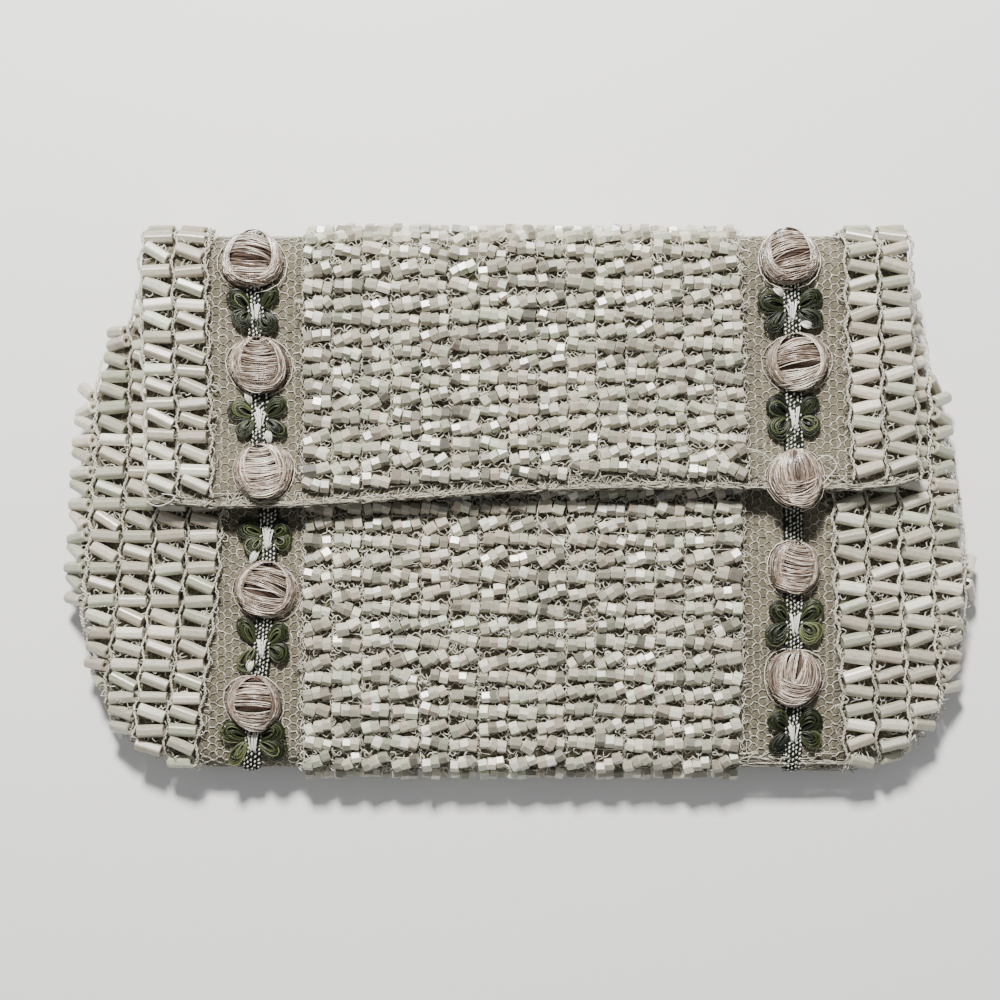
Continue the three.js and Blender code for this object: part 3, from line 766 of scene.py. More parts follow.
def bugle_threads(sheet, side, seed):
    """The twisted zigzag threads at the ends of the long beads."""
    heap, rng = begin(seed)
    low, high = band_ends(sheet, side, hem=0.6)
    if sheet == "front":
        high = MOUTH_Y
    y = np.arange(low, high, 0.8 if sheet == "back" else 0.58)
    zigzag_length = 6.9
    for column in range(BUGLE_COLUMNS[sheet] + (sheet == "flap")):
        for strand in range(2):
            zigzag = 2 * np.abs((y / zigzag_length) % 1 - 0.5) - 0.5
            sway = zigzag + 0.25 * wave(y, STITCH_LENGTH, math.pi * strand + column)
            x = bugle_line(sheet, side, y, column) + sway + smooth_noise(rng, len(y), 4, 0.1)
            lift = 1.5 + 0.25 * wave(y, STITCH_LENGTH, math.pi * (strand + 0.5))
            kept = np.ones(len(y), bool)
            if sheet != "flap":
                outside, _, _ = past_edge(x, y)
                kept = outside < (WALL_END - 0.6 if sheet == "front" else EDGE_ROUND - 0.5)
            if kept.sum() > 3:
                thread_line(heap, rng, sheet, x[kept], y[kept], lift[kept], TWIST_RADIUS, 0.6)
    return heap


LOOPS = {"front": 4300, "flap": 3300, "back": 700}


def gap_loops(sheet, seed):
    """Small loops of thread that stand between the beads, scattered over a sheet's fields."""
    heap, rng = begin(seed)
    low, high = band_ends(sheet, 1, hem=0.8)
    count = LOOPS[sheet]
    y = low + (high - low) * rng.random(count)
    x = HALF_WIDTH * (2 * rng.random(count) - 1)
    if sheet == "flap":
        inside = (x > across_at(FLAP_SIDES, "left", y) + 1) & (x < across_at(FLAP_SIDES, "right", y) - 1)
    else:
        outside, _, _ = past_edge(x, y)
        inside = outside < (WALL_END if sheet == "front" else EDGE_ROUND) - 1
    inside &= bare(sheet, x, y) < 0.95
    x, y = x[inside], y[inside]
    count = len(x)
    turn = rng.random(count) * 2 * math.pi
    wide = 0.5 + 0.45 * rng.random(count)
    deep = 0.7 + 0.7 * rng.random(count)
    angle = np.linspace(-0.15, 1.15, 5) * math.pi
    across, along = rotated(wide[:, None] * np.cos(angle), deep[:, None] * np.sin(angle), turn[:, None])
    lift = 0.7 + (0.5 + 1.2 * rng.random(count))[:, None] * np.clip(np.sin(angle), 0, 1)
    places, up = lifted(SHEETS[sheet], x[:, None] + across, y[:, None] + along, lift)
    tubes(heap, places, FINE_RADIUS, up, 3, strand_tints(rng, count, 0.85, 0.2))
    return heap


def thickened(places, outward, faces, thickness):
    """An outer face and an inner one, a thickness under it, closed round their edges."""
    inner = places - outward * thickness
    below = faces[:, ::-1] + len(places)
    edges = np.concatenate([faces[:, [k, (k + 1) % 4]] for k in range(4)])
    keys = np.sort(edges, axis=1)
    keys = keys[:, 0] * len(places) + keys[:, 1]
    _, first, uses = np.unique(keys, return_index=True, return_counts=True)
    rim = edges[first[uses == 1]]
    wall = np.stack([rim[:, 1], rim[:, 0], rim[:, 0] + len(places), rim[:, 1] + len(places)], axis=1)
    return np.concatenate([places, inner]), np.concatenate([faces, below, wall])


def grid_faces(rows, columns):
    index = np.arange(rows * columns).reshape(rows, columns)
    quads = [index[:-1, :-1], index[:-1, 1:], index[1:, 1:], index[1:, :-1]]
    return np.stack(quads, axis=-1).reshape(-1, 4)


def strip_cloth():
    """The one strip of cloth of the back, the fold and the flap."""
    columns = 96
    across = np.linspace(0, 1, columns)
    flat = np.zeros(columns)
    rows = []
    for along in np.linspace(-HALF_DEPTH + 0.2, FOLD_MIDDLE, 62):
        past = max(along - FOLD_Y, 0)
        plan = min(along, FOLD_Y) + FOLD_RADIUS * math.sin(past / FOLD_RADIUS)
        x = between(POUCH_OUTLINE, plan, across)
        y = np.full(columns, along)
        rows.append((*back_at(x, y), np.stack([x, y - 200, flat], axis=1), bare("back", x, y)))
    for share in np.linspace(0, 1, 36)[1:]:
        x = between(FLAP_SIDES, FOLD_MIDDLE * (1 - share), across)
        y = FOLD_MIDDLE - share * (FOLD_MIDDLE - flap_edge(x))
        rows.append((*flap_at(x, y), np.stack([x, y, flat], axis=1), bare("flap", x, y)))
    places, outward, pattern, lit_share = (np.concatenate(row) for row in zip(*rows))
    return places, outward, grid_faces(len(rows), columns), pattern, lit_share


def front_cloth():
    """The front panel: its face, row by row, and the rings of its rounded edge and side wall."""
    columns = 80
    across = np.linspace(0, 1, columns)
    chain = EDGE_LINE[EDGE_LINE[:, 1] < MOUTH_Y]
    lowest = int(np.argmin(np.abs(chain[:, 0] - chain[:, 0].mean())))
    left_part = chain[lowest::-1]
    right_part = chain[lowest:]
    upper = np.linspace(MOUTH_Y, -HALF_DEPTH + EDGE_ROUND + 8, 44)
    heights = np.concatenate([upper, np.linspace(upper[-1], chain[:, 1].min() + 0.05, 8)[1:]])
    rows = []
    for y in heights:
        left = np.interp(y, left_part[:, 1], left_part[:, 0])
        right = np.interp(y, right_part[:, 1], right_part[:, 0])
        rows.append(np.stack([left + (right - left) * across, np.full(columns, y)], axis=1))
    pattern = np.array(rows)
    place, out = front_at(pattern[..., 0], pattern[..., 1])
    places, outward, flat = [place.reshape(-1, 3)], [out.reshape(-1, 3)], [pattern.reshape(-1, 2)]
    faces = grid_faces(len(heights), columns)
    index = np.arange(len(flat[0])).reshape(-1, columns)
    previous = np.concatenate([index[:, 0], index[-1, 1:-1], index[::-1, -1]])
    foot = flat[0][previous]
    _, _, normal = past_edge(foot[:, 0], foot[:, 1])
    current = index.size + np.arange(len(foot))
    for distance in (1.1, 2.2, 3.3, 4.4, 5.5, ROUND_END, WALL_END - GAP * 0.5):
        angle = min(distance / EDGE_ROUND, math.pi / 2)
        height = FACE_EDGE - EDGE_ROUND * (1 - math.cos(angle)) - max(distance - ROUND_END, 0)
        plan = foot + normal * EDGE_ROUND * math.sin(angle)
        upright = np.ones((len(foot), 1))
        places.append(np.concatenate([plan, upright * height], axis=1))
        outward.append(np.concatenate([normal * math.sin(angle), upright * math.cos(angle)], axis=1))
        flat.append(foot + normal * distance)
        quads = [previous[:-1], current[:-1], current[1:], previous[1:]]
        faces = np.concatenate([faces, np.stack(quads, axis=1)[:, ::-1]])
        previous, current = current, current + len(foot)
    flat = np.concatenate(flat)
    pattern = np.concatenate([flat, np.zeros((len(flat), 1))], axis=1)
    lit_share = bare("front", flat[:, 0], flat[:, 1])
    return np.concatenate(places), np.concatenate(outward), faces, pattern, lit_share


# The lining's share of lit cloth colour; the rest is painted shade.
LINING_LIT_SHARE = 0.7


def cloth_piece(name, parts, material, node):
    """A sheet of cloth with a plain lining inside."""
    places, outward, faces, pattern, lit_share = parts
    heap = Heap()
    both, closed = thickened(places, outward, faces, CLOTH - 0.2)
    # Each point's tint holds its share of lit cloth colour, against painted shade.
    lining = np.full(len(places), LINING_LIT_SHARE)
    tint = np.repeat(np.concatenate([lit_share, lining])[:, None], 3, axis=1)
    heap.add(both, [closed], tint, np.concatenate([pattern, pattern]))
    piece = make(heap, name, material, (node,))


# The kinds of rose, in bundles of strands. Some run down both "sides" from the top, from "inner"
# outwards as a share of the radius; others lie "across" the middle from "top" to "bottom", parted by
# "slit", and dip by "sag".
ROSE_KINDS = {
    "a": {"inner": 0.7, "sides": 4, "top": 0.64, "bottom": -0.82, "slit": 0.06, "sag": 0.03, "across": 6},
    "b": {"inner": 0.56, "sides": 5, "top": 0.9, "bottom": -0.78, "slit": 0.01, "sag": 0.13, "across": 8},
    "c": {"inner": 0.03, "sides": 8, "top": 0.04, "bottom": -0.78, "slit": 0.02, "sag": 0.2, "across": 4},
}
BUNDLE = 5
STRAND_POINTS = 9
SLIT_Y = -0.12
OUTERMOST = 1.02


def rose_side(rng, side, reach, tilt, phase):
    """A strand that runs from a rose's top down one side of it, as shares of the rose's radius."""
    angle = np.radians(np.linspace(88 - abs(rng.normal(0, 9)), -84 + rng.normal(0, 12), STRAND_POINTS))
    wide = reach * (1 + 0.06 * np.cos(2 * angle + phase)) + smooth_noise(rng, STRAND_POINTS, 2, 0.02)
    x = side * wide * np.cos(angle)
    y = np.where(angle > 0, 0.93, 0.96 * reach) * np.sin(angle)
    return rotated(x, y, math.radians(tilt))


def rose_across(rng, kind, start, slope):
    """A strand across a rose's middle, as shares of the rose's radius."""
    run = np.linspace(-1, 1, STRAND_POINTS)
    above = start > SLIT_Y
    bow = 0.05 if above and kind["sag"] < 0.1 else -kind["sag"]
    half = 0.8 * math.sqrt(1 - min(start * start, 0.8)) + rng.normal(0, 0.05)
    y = start + (bow + kind["slit"] * (1 if above else -1)) * (1 - run**2) + slope * run
    y = y + smooth_noise(rng, STRAND_POINTS, 2, 0.02)
    return run * half + rng.normal(0, 0.03), y


def rose_strands(rng, height, kind):
    """The strands of one rose about its own middle, as paths, radii and tints."""
    kind = ROSE_KINDS[kind]
    lines, tints = [], []
    width = (OUTERMOST - kind["inner"]) / kind["sides"]
    for side in SIDES:
        phase = rng.random() * 2 * math.pi
        for bundle in range(kind["sides"]):
            middle = kind["inner"] + width * (bundle + 0.5)
            tilt = rng.normal(0, 5)
            light = rng.normal(0.42, 0.12)
            for strand in range(BUNDLE):
                reach = middle + (strand - BUNDLE // 2) * width / 4.5
                x, y = rose_side(rng, side, reach, tilt, phase)
                lines.append((x, y, -1.6 * max(reach - 0.85, 0)))
                tints.append(light + rng.normal(0, 0.14))
        x, y = rose_side(rng, side, 1.08 + 0.1 * rng.random(), rng.normal(0, 8), phase)
        lines.append((x, y, -0.3))
        tints.append(0.7)
    step = (kind["top"] - kind["bottom"]) / kind["across"]
    run = np.linspace(-1, 1, STRAND_POINTS)
    for bundle in range(kind["across"]):
        middle = kind["top"] - step * (bundle + 0.5)
        slope = rng.normal(0, 0.05)
        # The strands across the middle are painted paler than those down the sides: painted highlight on
        # the top of the rose.
        light = rng.normal(0.55, 0.12)
        for strand in range(BUNDLE):
            x, y = rose_across(rng, kind, middle - (strand - BUNDLE // 2) * step / 4.8, slope)
            lines.append((x, y, 0.06 - 0.16 * run**4))
            tints.append(light + rng.normal(0, 0.17))
    paths = []
    for x, y, lift in lines:
        z = 0.28 + 0.58 * np.sqrt(np.clip(1 - 0.92 * (x * x + y * y), 0, 1)) + lift + rng.normal(0, 0.015)
        paths.append(np.stack([x * ROSE_RADIUS, y * ROSE_RADIUS, np.maximum(z, 0.05) * height], axis=1))
    count = len(paths)
    radii = (0.12 + 0.07 * rng.random((count, 1))) * (1 - 0.35 * np.abs(run) ** 3)
    tints = np.stack([np.clip(tints, 0, 1), rng.random(count), rng.random(count)], axis=1)
    return np.array(paths), radii, tints


# The stuffing under a rose's strands: rings of height and radius, as shares of its own.
STUFFING = [(0, 0.86), (0.25, 1), (0.55, 0.9), (0.85, 0.6), (0.96, 0.25), (1, 0.02)]
DOME = barrel([18 * k for k in range(20)], STUFFING, holed=False)


def seat(sheet, x, y):
    """Where a trim's piece stands: its place, and its own three directions as rows."""
    places, directions = frames(SHEETS[sheet], np.array([x]), np.array([y]), 0.0, GAP)
    return places[0], directions[0]


def fold_seat(x, y):
    """Where a rose at the fold stands: it leans back with it."""
    radius = FOLD_RADIUS + GAP
    angle = math.asin(max(y - FOLD_Y, 0) / (radius + ROSE_HEIGHT / 2))
    out = np.array([0, math.sin(angle), math.cos(angle)])
    place = np.array([x, FOLD_Y, FOLD_Z]) + radius * out
    return place, np.stack([np.array([1.0, 0, 0]), np.cross(out, [1.0, 0, 0]), out])


def rose(pads, sheet, x, y, kind, seed):
    """One rose's strands, with its stuffing added to the trim's pads."""
    heap, rng = begin(seed)
    height = PRESSED_HEIGHT if sheet == "back" else ROSE_HEIGHT
    on_fold = sheet == "flap" and y > FOLD_Y - 2
    place, directions = fold_seat(x, y) if on_fold else seat(sheet, x, y)
    directions = turning(rng.normal(0, 0.16)) @ directions
    size = 1.05 + rng.normal(0, 0.03)
    paths, radii, tints = rose_strands(rng, height, kind)
    wide = size * (0.86 + 0.16 * rng.random())
    facing = 1 if rng.random() < 0.5 else -1
    placed = place + (paths * [wide * facing, size, 1]) @ directions
    tubes(heap, placed, radii, np.broadcast_to(directions[2], placed.shape), 3, tints)
    points, faces = DOME
    radius = 0.86 * ROSE_RADIUS
    points = points[:, [1, 2, 0]] * [wide * radius, size * radius, 0.6 * height]
    pads.add(place + points @ directions, faces)
    return heap


def braid_x(trim, y):
    return across_at(trim["braid"], "x", y)


def blob(length, width, height):
    """A small lengthened bead of thread, as eight faces."""
    points = np.array([(0, 0, 1), (1, 0, 0), (0, 1, 0), (-1, 0, 0), (0, -1, 0), (0, 0, -1)], float)
    faces = [(0, 1, 2), (0, 2, 3), (0, 3, 4), (0, 4, 1), (5, 2, 1), (5, 3, 2), (5, 4, 3), (5, 1, 4)]
    return points * [width, length, height], [np.array(faces)]


def braid_span(sheet):
    """The heights y that a sheet's braids run between."""
    if sheet == "flap":
        return 2.6, FOLD_MIDDLE
    if sheet == "front":
        return -HALF_DEPTH + EDGE_ROUND - ROUND_END + 1.5, FRONT_BANDS_TOP
    return -HALF_DEPTH + 2, FOLD_MIDDLE


# How far the purse's weight presses the trims, and the leaves on them, as shares of their height.
PRESSED = {"front": 1.0, "flap": 1.0, "back": 0.7}
LEAVES_PRESSED = {"front": 1.0, "flap": 1.0, "back": 0.55}
PLAIT_LENGTH = 6.3
# The height of the braid's core, as a share of the braid's.
CORE_HEIGHT = 0.62


def rounded(share):
    """The height of a round section, from 1 in the middle to 0 at a share of -1 or 1."""
    return np.sqrt(np.clip(1 - share**2, 0, 1))


def braid_ground(sheet, trim, seed):
    """The dark ground of the braid: plaited strands over a flat core."""
    heap, rng = begin(seed)
    low, high = braid_span(sheet)
    tall = BRAID_HEIGHT * PRESSED[sheet]
    strands = 7
    y = np.arange(low, high, 0.8)
    share = np.linspace(-1, 1, strands)
    x = braid_x(trim, y)[:, None] + share * BRAID_WIDTH / 2
    lift = GAP + CORE_HEIGHT * tall * rounded(share)
    top, outward = lifted(SHEETS[sheet], x, np.repeat(y[:, None], strands, axis=1), lift)
    core = grid_faces(len(y), strands)
    both, closed = thickened(top.reshape(-1, 3), outward.reshape(-1, 3), core, 0.3)
    heap.add(both, [closed[:, ::-1]], (0.15, 0.4, 0.5))
    y = np.arange(low, high, 0.6)
    for strand in range(strands):
        phase = 2 * math.pi * strand / strands
        sway = wave(y, PLAIT_LENGTH, phase)
        crossing = wave(y, PLAIT_LENGTH / 2, 2 * phase + math.pi / 2)
        height = GAP + tall * (CORE_HEIGHT * rounded(math.sqrt(0.8) * sway) + 0.1 * crossing)
        x = braid_x(trim, y) + sway * BRAID_WIDTH * 0.44
        thread_line(heap, rng, sheet, x, y, height, 0.3, 0.2, 0.05)
    return heap


def braid_stitches(sheet, trim, seed):
    """The pale slanting stitches in rows along the braid, and a knot in each cluster of leaves."""
    heap, rng = begin(seed)
    low, high = braid_span(sheet)
    pitch = 0.93
    lines = 5
    column, row = np.meshgrid(np.arange(lines), np.arange(int((high - low) / pitch)))
    column, row = column.ravel(), row.ravel()
    y = low + (row + 0.5 + 0.5 * (column % 2)) * pitch + rng.normal(0, 0.09, len(row))
    share = (column - (lines - 1) / 2) / (lines / 2) * 0.9 + rng.normal(0, 0.03, len(row))
    kept = rng.random(len(row)) < 0.94
    y, share = y[kept], share[kept]
    x = braid_x(trim, y) + share * BRAID_WIDTH / 2
    lift = GAP + BRAID_HEIGHT * PRESSED[sheet] * (0.25 + 0.75 * rounded(share))
    spots = frames(SHEETS[sheet], x, y, np.zeros(len(x)), lift)
    turn = rng.normal(-0.25, 0.3, len(x))
    points, faces = blob(0.46, 0.24, 0.26)
    across, along = rotated(points[:, 0], points[:, 1], turn[:, None])
    local = np.stack([across, along, np.broadcast_to(points[:, 2], across.shape)], axis=-1)
    tint = strand_tints(rng, len(x), 0.75, 0.15)
    add_copies(heap, faces, local, spots, np.repeat(tint, len(points), axis=0))
    for height in trim["leaves"]:
        knot_threads(heap, rng, sheet, trim, height * HALF_DEPTH)
    return heap


def knot_threads(heap, rng, sheet, trim, y):
    """The pale threads that flare over the braid where four leaves are bound to it."""
    place, directions = seat(sheet, float(braid_x(trim, y)), y)
    share = np.linspace(0, 1, 9)
    paths = []
    for strand in range(PALE_STRANDS):
        offset = (strand - 2.5) * 0.36 + rng.normal(0, 0.08)
        along = (2 * share - 1) * (2.0 + rng.normal(0, 0.35))
        across = offset * (0.45 + 0.75 * share**1.5) + rng.normal(0, 0.08)
        height = (BRAID_HEIGHT + 0.42) * PRESSED[sheet] * rounded(along / 3.2)
        paths.append(np.stack([across, along - 0.4, height], axis=1))
    place_strands(heap, np.array(paths), place, directions, 0.2, strand_tints(rng, PALE_STRANDS, 0.7), 4)


def place_strands(heap, paths, place, directions, radius, tints, sides=3):
    """Strands about their own origin, laid at a place in its directions."""
    placed = place + paths @ directions
    tubes(heap, placed, radius, np.broadcast_to(directions[2], placed.shape), sides, tints)


LEAF_LOOPS = 8
PALE_STRANDS = 6


def leaf_loops(rng, length, width, height):
    """A leaf's nested loops of thread, from its root at the origin along +x."""
    share = np.linspace(0, 1, 12)
    paths = []
    for loop in range(LEAF_LOOPS):
        share_in = loop / LEAF_LOOPS
        size = 1 - 0.8 * share_in
        x = length * (1 - 0.45 * share_in) * (1 - np.cos(2 * math.pi * share)) / 2
        y = width / 2 * size * np.sin(2 * math.pi * share) * (0.55 + 0.45 * x / length) * 1.3
        y = y + x * rng.normal(0, 0.07) + smooth_noise(rng, len(share), 2, 0.09)
        z = height * (0.3 + 0.7 * np.sin(math.pi * share)) * (0.75 + 0.3 * share_in)
        paths.append(np.stack([x, y, z], axis=1))
    return np.array(paths)


def petal_strands(rng, length, height):
    """A flat tuft of pale floss from its root at the origin along +x."""
    share = np.linspace(0, 1, 9)
    paths = []
    for strand in range(PALE_STRANDS):
        offset = (strand - 2.5) * 0.27
        x = length * share * (1 - 0.04 * abs(strand - 2.5)) + rng.normal(0, 0.1)
        y = offset * np.sin(math.pi * (0.12 + 0.76 * share)) + rng.normal(0, 0.05) + 0.3 * share**2
        z = height * (0.35 + 0.65 * np.sin(math.pi * share))
        paths.append(np.stack([x, y, z], axis=1))
    return np.array(paths)


def leaves(sheet, trim, seed):
    """Four looped leaves at each cluster, and now and then a slender pale loop beside one."""
    green, rng = begin(seed)
    pale = Heap()
    pressed = LEAVES_PRESSED[sheet]
    for height in trim["leaves"]:
        y = height * HALF_DEPTH
        place, directions = seat(sheet, float(braid_x(trim, y)), y)
        for across in SIDES:
            for up in (-1, 1):
                splay = math.radians(42 + rng.normal(0, 13)) * up
                if across < 0:
                    splay = math.pi - splay
                spun = turning(splay)
                length = 5.0 * (1 + rng.normal(0, 0.14))
                paths = leaf_loops(rng, length, 3.9 * (1 + rng.normal(0, 0.13)), 1.5 * pressed)
                root = np.array([across * 1.5, up * 0.5, 0.2])
                tints = strand_tints(rng, LEAF_LOOPS, rng.normal(0.37, 0.12), 0.18)
                place_strands(green, paths @ spun + root, place, directions, 0.26, tints)
                pad, faces = blob(1.5, length * 0.46, 0.8 * pressed)
                pad = (pad + [length * 0.52, 0, 0]) @ spun + root + [0, 0, 0.5]
                green.add(place + pad @ directions, faces, (0.1, 0.5, 0.5))
                if rng.random() < 0.2:
                    ends = petal_strands(rng, 2.6 + 1.2 * rng.random(), 1.5 * pressed)
                    root = np.array([across * 2.0, up * 2.9, 0.4])
                    spun = turning(splay + up * across * rng.normal(0.5, 0.3))
                    tints = strand_tints(rng, PALE_STRANDS, 0.6, 0.2)
                    place_strands(pale, ends @ spun + root, place, directions, 0.2, tints)
    return green, pale


HEM_STRAYS = 230
FOOT_STRAYS = 70


def flap_hem(seed):
    """The flap's rolled edge, and the garlands and tangled threads of its bare hem."""
    heap, rng = begin(seed)
    left, right = (across_at(FLAP_SIDES, word, 2.0) for word in SIDES.values())
    x = np.arange(left, right, 0.8)
    for strand in range(6):
        sway = 0.18 * wave(x, 4.1 + 0.7 * strand, strand * 1.7) + smooth_noise(rng, len(x), 3, 0.07)
        lift = 0.2 - 0.25 * (strand < 2) + 0.2 * wave(x, 3.3, strand + math.pi / 2)
        y = flap_edge(x) + 0.25 + 0.2 * strand + sway
        thread_line(heap, rng, "flap", x, y, lift, 0.2, 0.35)
    share = np.linspace(0, 1, 9)
    for column in range(2 * CENTRE_COLUMNS + 2):
        start = centre_line("flap", 4.0, column / (2 * CENTRE_COLUMNS)) + rng.normal(0, 0.3)
        x = start + (3.2 + rng.normal(0, 0.5)) * share
        dip = 1.7 + rng.normal(0, 0.25)
        y = flap_edge(x) + HEM + 0.3 - dip * 4 * share * (1 - share)
        thread_line(heap, rng, "flap", x, y, 0.3 + 0.25 * share, GARLAND_RADIUS, 0.4)
    for _ in range(HEM_STRAYS):
        path = stray_path(rng, 1.3)
        x = np.clip(left + (right - left) * rng.random() + path[:, 0], left, right)
        stray_thread(heap, rng, "flap", x, flap_edge(x) + 1.7 + path[:, 1], 0.4, 0.5)
    return heap


def stray_path(rng, reach):
    """The wandering line of a short loose thread, as x and y from where it starts."""
    path = np.cumsum(smoothed(rng.normal(0, 1, (12, 2)), 2) * 1.1, axis=0)
    path[:, 1] = np.clip(path[:, 1], -reach, reach)
    return path


def stray_thread(heap, rng, sheet, x, y, lowest, spread):
    lift = np.full(len(x), lowest + spread * rng.random())
    thread_line(heap, rng, sheet, x, y, lift, FINE_RADIUS, 0.5, 0.2)


def foot_tangle(seed):
    """The matted thread ends along the foot of the front's right band."""
    heap, rng = begin(seed)
    for _ in range(FOOT_STRAYS):
        path = stray_path(rng, 1.0)
        share = rng.random()
        x = 50 + 18 * share + path[:, 0] * 1.6
        y = -56.6 + 1.1 * math.cos(math.pi * share) + path[:, 1]
        stray_thread(heap, rng, "front", x, y, 0.5, 0.9)
    return heap


def seam_stitches(seed):
    """The whipped seam that holds the front panel's foot to the back, round three sides."""
    heap, rng = begin(seed)
    kept = (EDGE_LINE + EDGE_NORMALS * EDGE_ROUND)[:, 1] < FOLD_Y
    normal = EDGE_NORMALS[kept]
    line = EDGE_LINE[kept] + normal * EDGE_ROUND
    share = np.linspace(0, 1, 7)[:, None]
    starts = range(0, len(line) - 3, 2)
    z = BACK_UNDER + 0.4 + (WALL_FOOT - BACK_UNDER + 0.5) * share
    paths, up = [], []
    for start in starts:
        along = line[start + 1] - line[start]
        plan = line[start] + 1.2 * along * share + 0.49 * normal[start] * np.sin(math.pi * share)
        paths.append(np.concatenate([plan, z], axis=1))
        up.append([[*normal[start], 0]])
    up = np.broadcast_to(up, np.shape(paths))
    tubes(heap, paths, 0.22, up, 4, strand_tints(rng, len(paths)))
    return heap


# Loose threads: the sheet they lie on, and points x and y along each.
LOOSE_THREADS = (
    ("front", ((4.2, 1.5), (3.6, -1.6), (3.1, -4.0), (8.0, -7.6), (11.4, -13.1), (13.8, -15.8))),
    ("flap", ((-80.5, 0.4), (-78.0, -1.3), (-75.0, -0.2), (-73.5, 1.4), (-77.5, 1.8))),
    ("flap", ((47.5, 11.5), (51.5, 10.6), (54.0, 8.2), (56.0, 9.6))),
    ("flap", ((64.0, 3.4), (68.0, 8.0), (65.4, 10.6), (62.0, 8.0))),
    ("front", ((99.0, -31.5), (101.5, -34.5), (100.5, -37.5), (101.0, -38.5))),
)


def loose_threads(seed):
    """The stray threads that lie on the beads, each along its own line."""
    heap, rng = begin(seed)
    for sheet, points in LOOSE_THREADS:
        line = smoothed(spaced(np.array(points, float), 0.5), 5)
        height = 2.7 + 0.5 * np.sin(np.linspace(0, 5, len(line)))
        thread_line(heap, rng, sheet, line[:, 0], line[:, 1], height, FINE_RADIUS, 0.9)
    return heap


# Materials.
def material(name):
    """A new material with its node tree and its shader."""
    made = bpy.data.materials.new(name)
    made.use_nodes = True
    return made, made.node_tree, made.node_tree.nodes["Principled BSDF"]


def fill(tree, made, inputs):
    """Sets a node's own inputs, or links them where the value is another node's output."""
    for key, value in inputs.items():
        if isinstance(value, bpy.types.NodeSocket):
            tree.links.new(value, made.inputs[key])
        else:
            made.inputs[key].default_value = value


def node(tree, kind, inputs=None, **settings):
    """A shader node with its inputs set or linked; returns its outputs."""
    made = tree.nodes.new("ShaderNode" + kind)
    for key, value in settings.items():
        setattr(made, key, value)
    fill(tree, made, inputs or {})
    return made.outputs


def math_node(tree, operation, *values):
    return node(tree, "Math", dict(enumerate(values)), operation=operation)[0]


def vector_node(tree, operation, *values):
    return node(tree, "VectorMath", dict(enumerate(values)), operation=operation)[0]


def mixed(tree, share, first, second, blend="MIX"):
    """Two colours mixed by a share."""
    inputs = {0: share, 6: first, 7: second}
    return node(tree, "Mix", inputs, data_type="RGBA", blend_type=blend)[2]


def bump(tree, strength, distance, height):
    return node(tree, "Bump", {"Strength": strength, "Distance": distance, "Height": height})[0]


def tint_parts(tree):
    tint = node(tree, "Attribute", attribute_name="tint")["Color"]
    return node(tree, "SeparateColor", {0: tint})


def grain_vector(tree, scale):
    grain = node(tree, "Attribute", attribute_name="grain")["Vector"]
    return node(tree, "Mapping", {"Vector": grain, "Scale": scale}, vector_type="POINT")[0]


def noise(tree, vector, scale, detail=2.0, roughness=0.5):
    inputs = {"Vector": vector, "Scale": scale, "Detail": detail, "Roughness": roughness}
    return node(tree, "TexNoise", inputs)["Fac"]


def ramp(tree, value, *stops):
    """A colour ramp through stops of position and colour."""
    made = tree.nodes.new("ShaderNodeValToRGB")
    tree.links.new(value, made.inputs[0])
    elements = made.color_ramp.elements
    while len(elements) < len(stops):
        elements.new(0.5)
    for element, (position, colour) in zip(elements, stops):
        element.position = position
        element.color = (*colour, 1)
    return made.outputs[0]


def glass_material():
    """Cut glass beads, greyish white and a little cloudy, drawn along their length."""
    made, tree, shader = material("cut_glass")
    light, warmth, cloud = tint_parts(tree)
    dark, middle, pale = (0.11, 0.103, 0.082), (0.42, 0.395, 0.32), (0.8, 0.77, 0.67)
    base = ramp(tree, light, (0.1, dark), (0.5, middle), (0.9, pale))
    greenish, plain, pinkish = (0.92, 1.0, 0.92), (1, 1, 0.98), (1.0, 0.93, 0.9)
    hue = ramp(tree, warmth, (0.1, greenish), (0.4, plain), (0.6, plain), (0.9, pinkish))
    streaks = noise(tree, grain_vector(tree, (0.35, 3.2, 7.1)), 2.4, 3.0)
    cloudy = ramp(tree, streaks, (0.35, (0.78, 0.78, 0.78)), (0.65, (1.12, 1.12, 1.12)))
    fine = noise(tree, grain_vector(tree, (0.5, 9.0, 3.3)), 3.0, 2.0)
    looks = {
        "Base Color": mixed(tree, 1.0, mixed(tree, 1.0, base, hue, "MULTIPLY"), cloudy, "MULTIPLY"),
        "Normal": bump(tree, 0.25, 0.00006, fine),
        "Roughness": node(tree, "MapRange", {0: cloud, 3: 0.26, 4: 0.42})[0],
        "IOR": 1.52,
        "Specular IOR Level": 0.95,
        "Coat Weight": 0.1,
        "Coat Roughness": 0.15,
        "Subsurface Weight": 0.55,
        "Subsurface Radius": (1.0, 1.0, 0.9),
        "Subsurface Scale": 0.0012,
    }
    fill(tree, shader, looks)
    return made


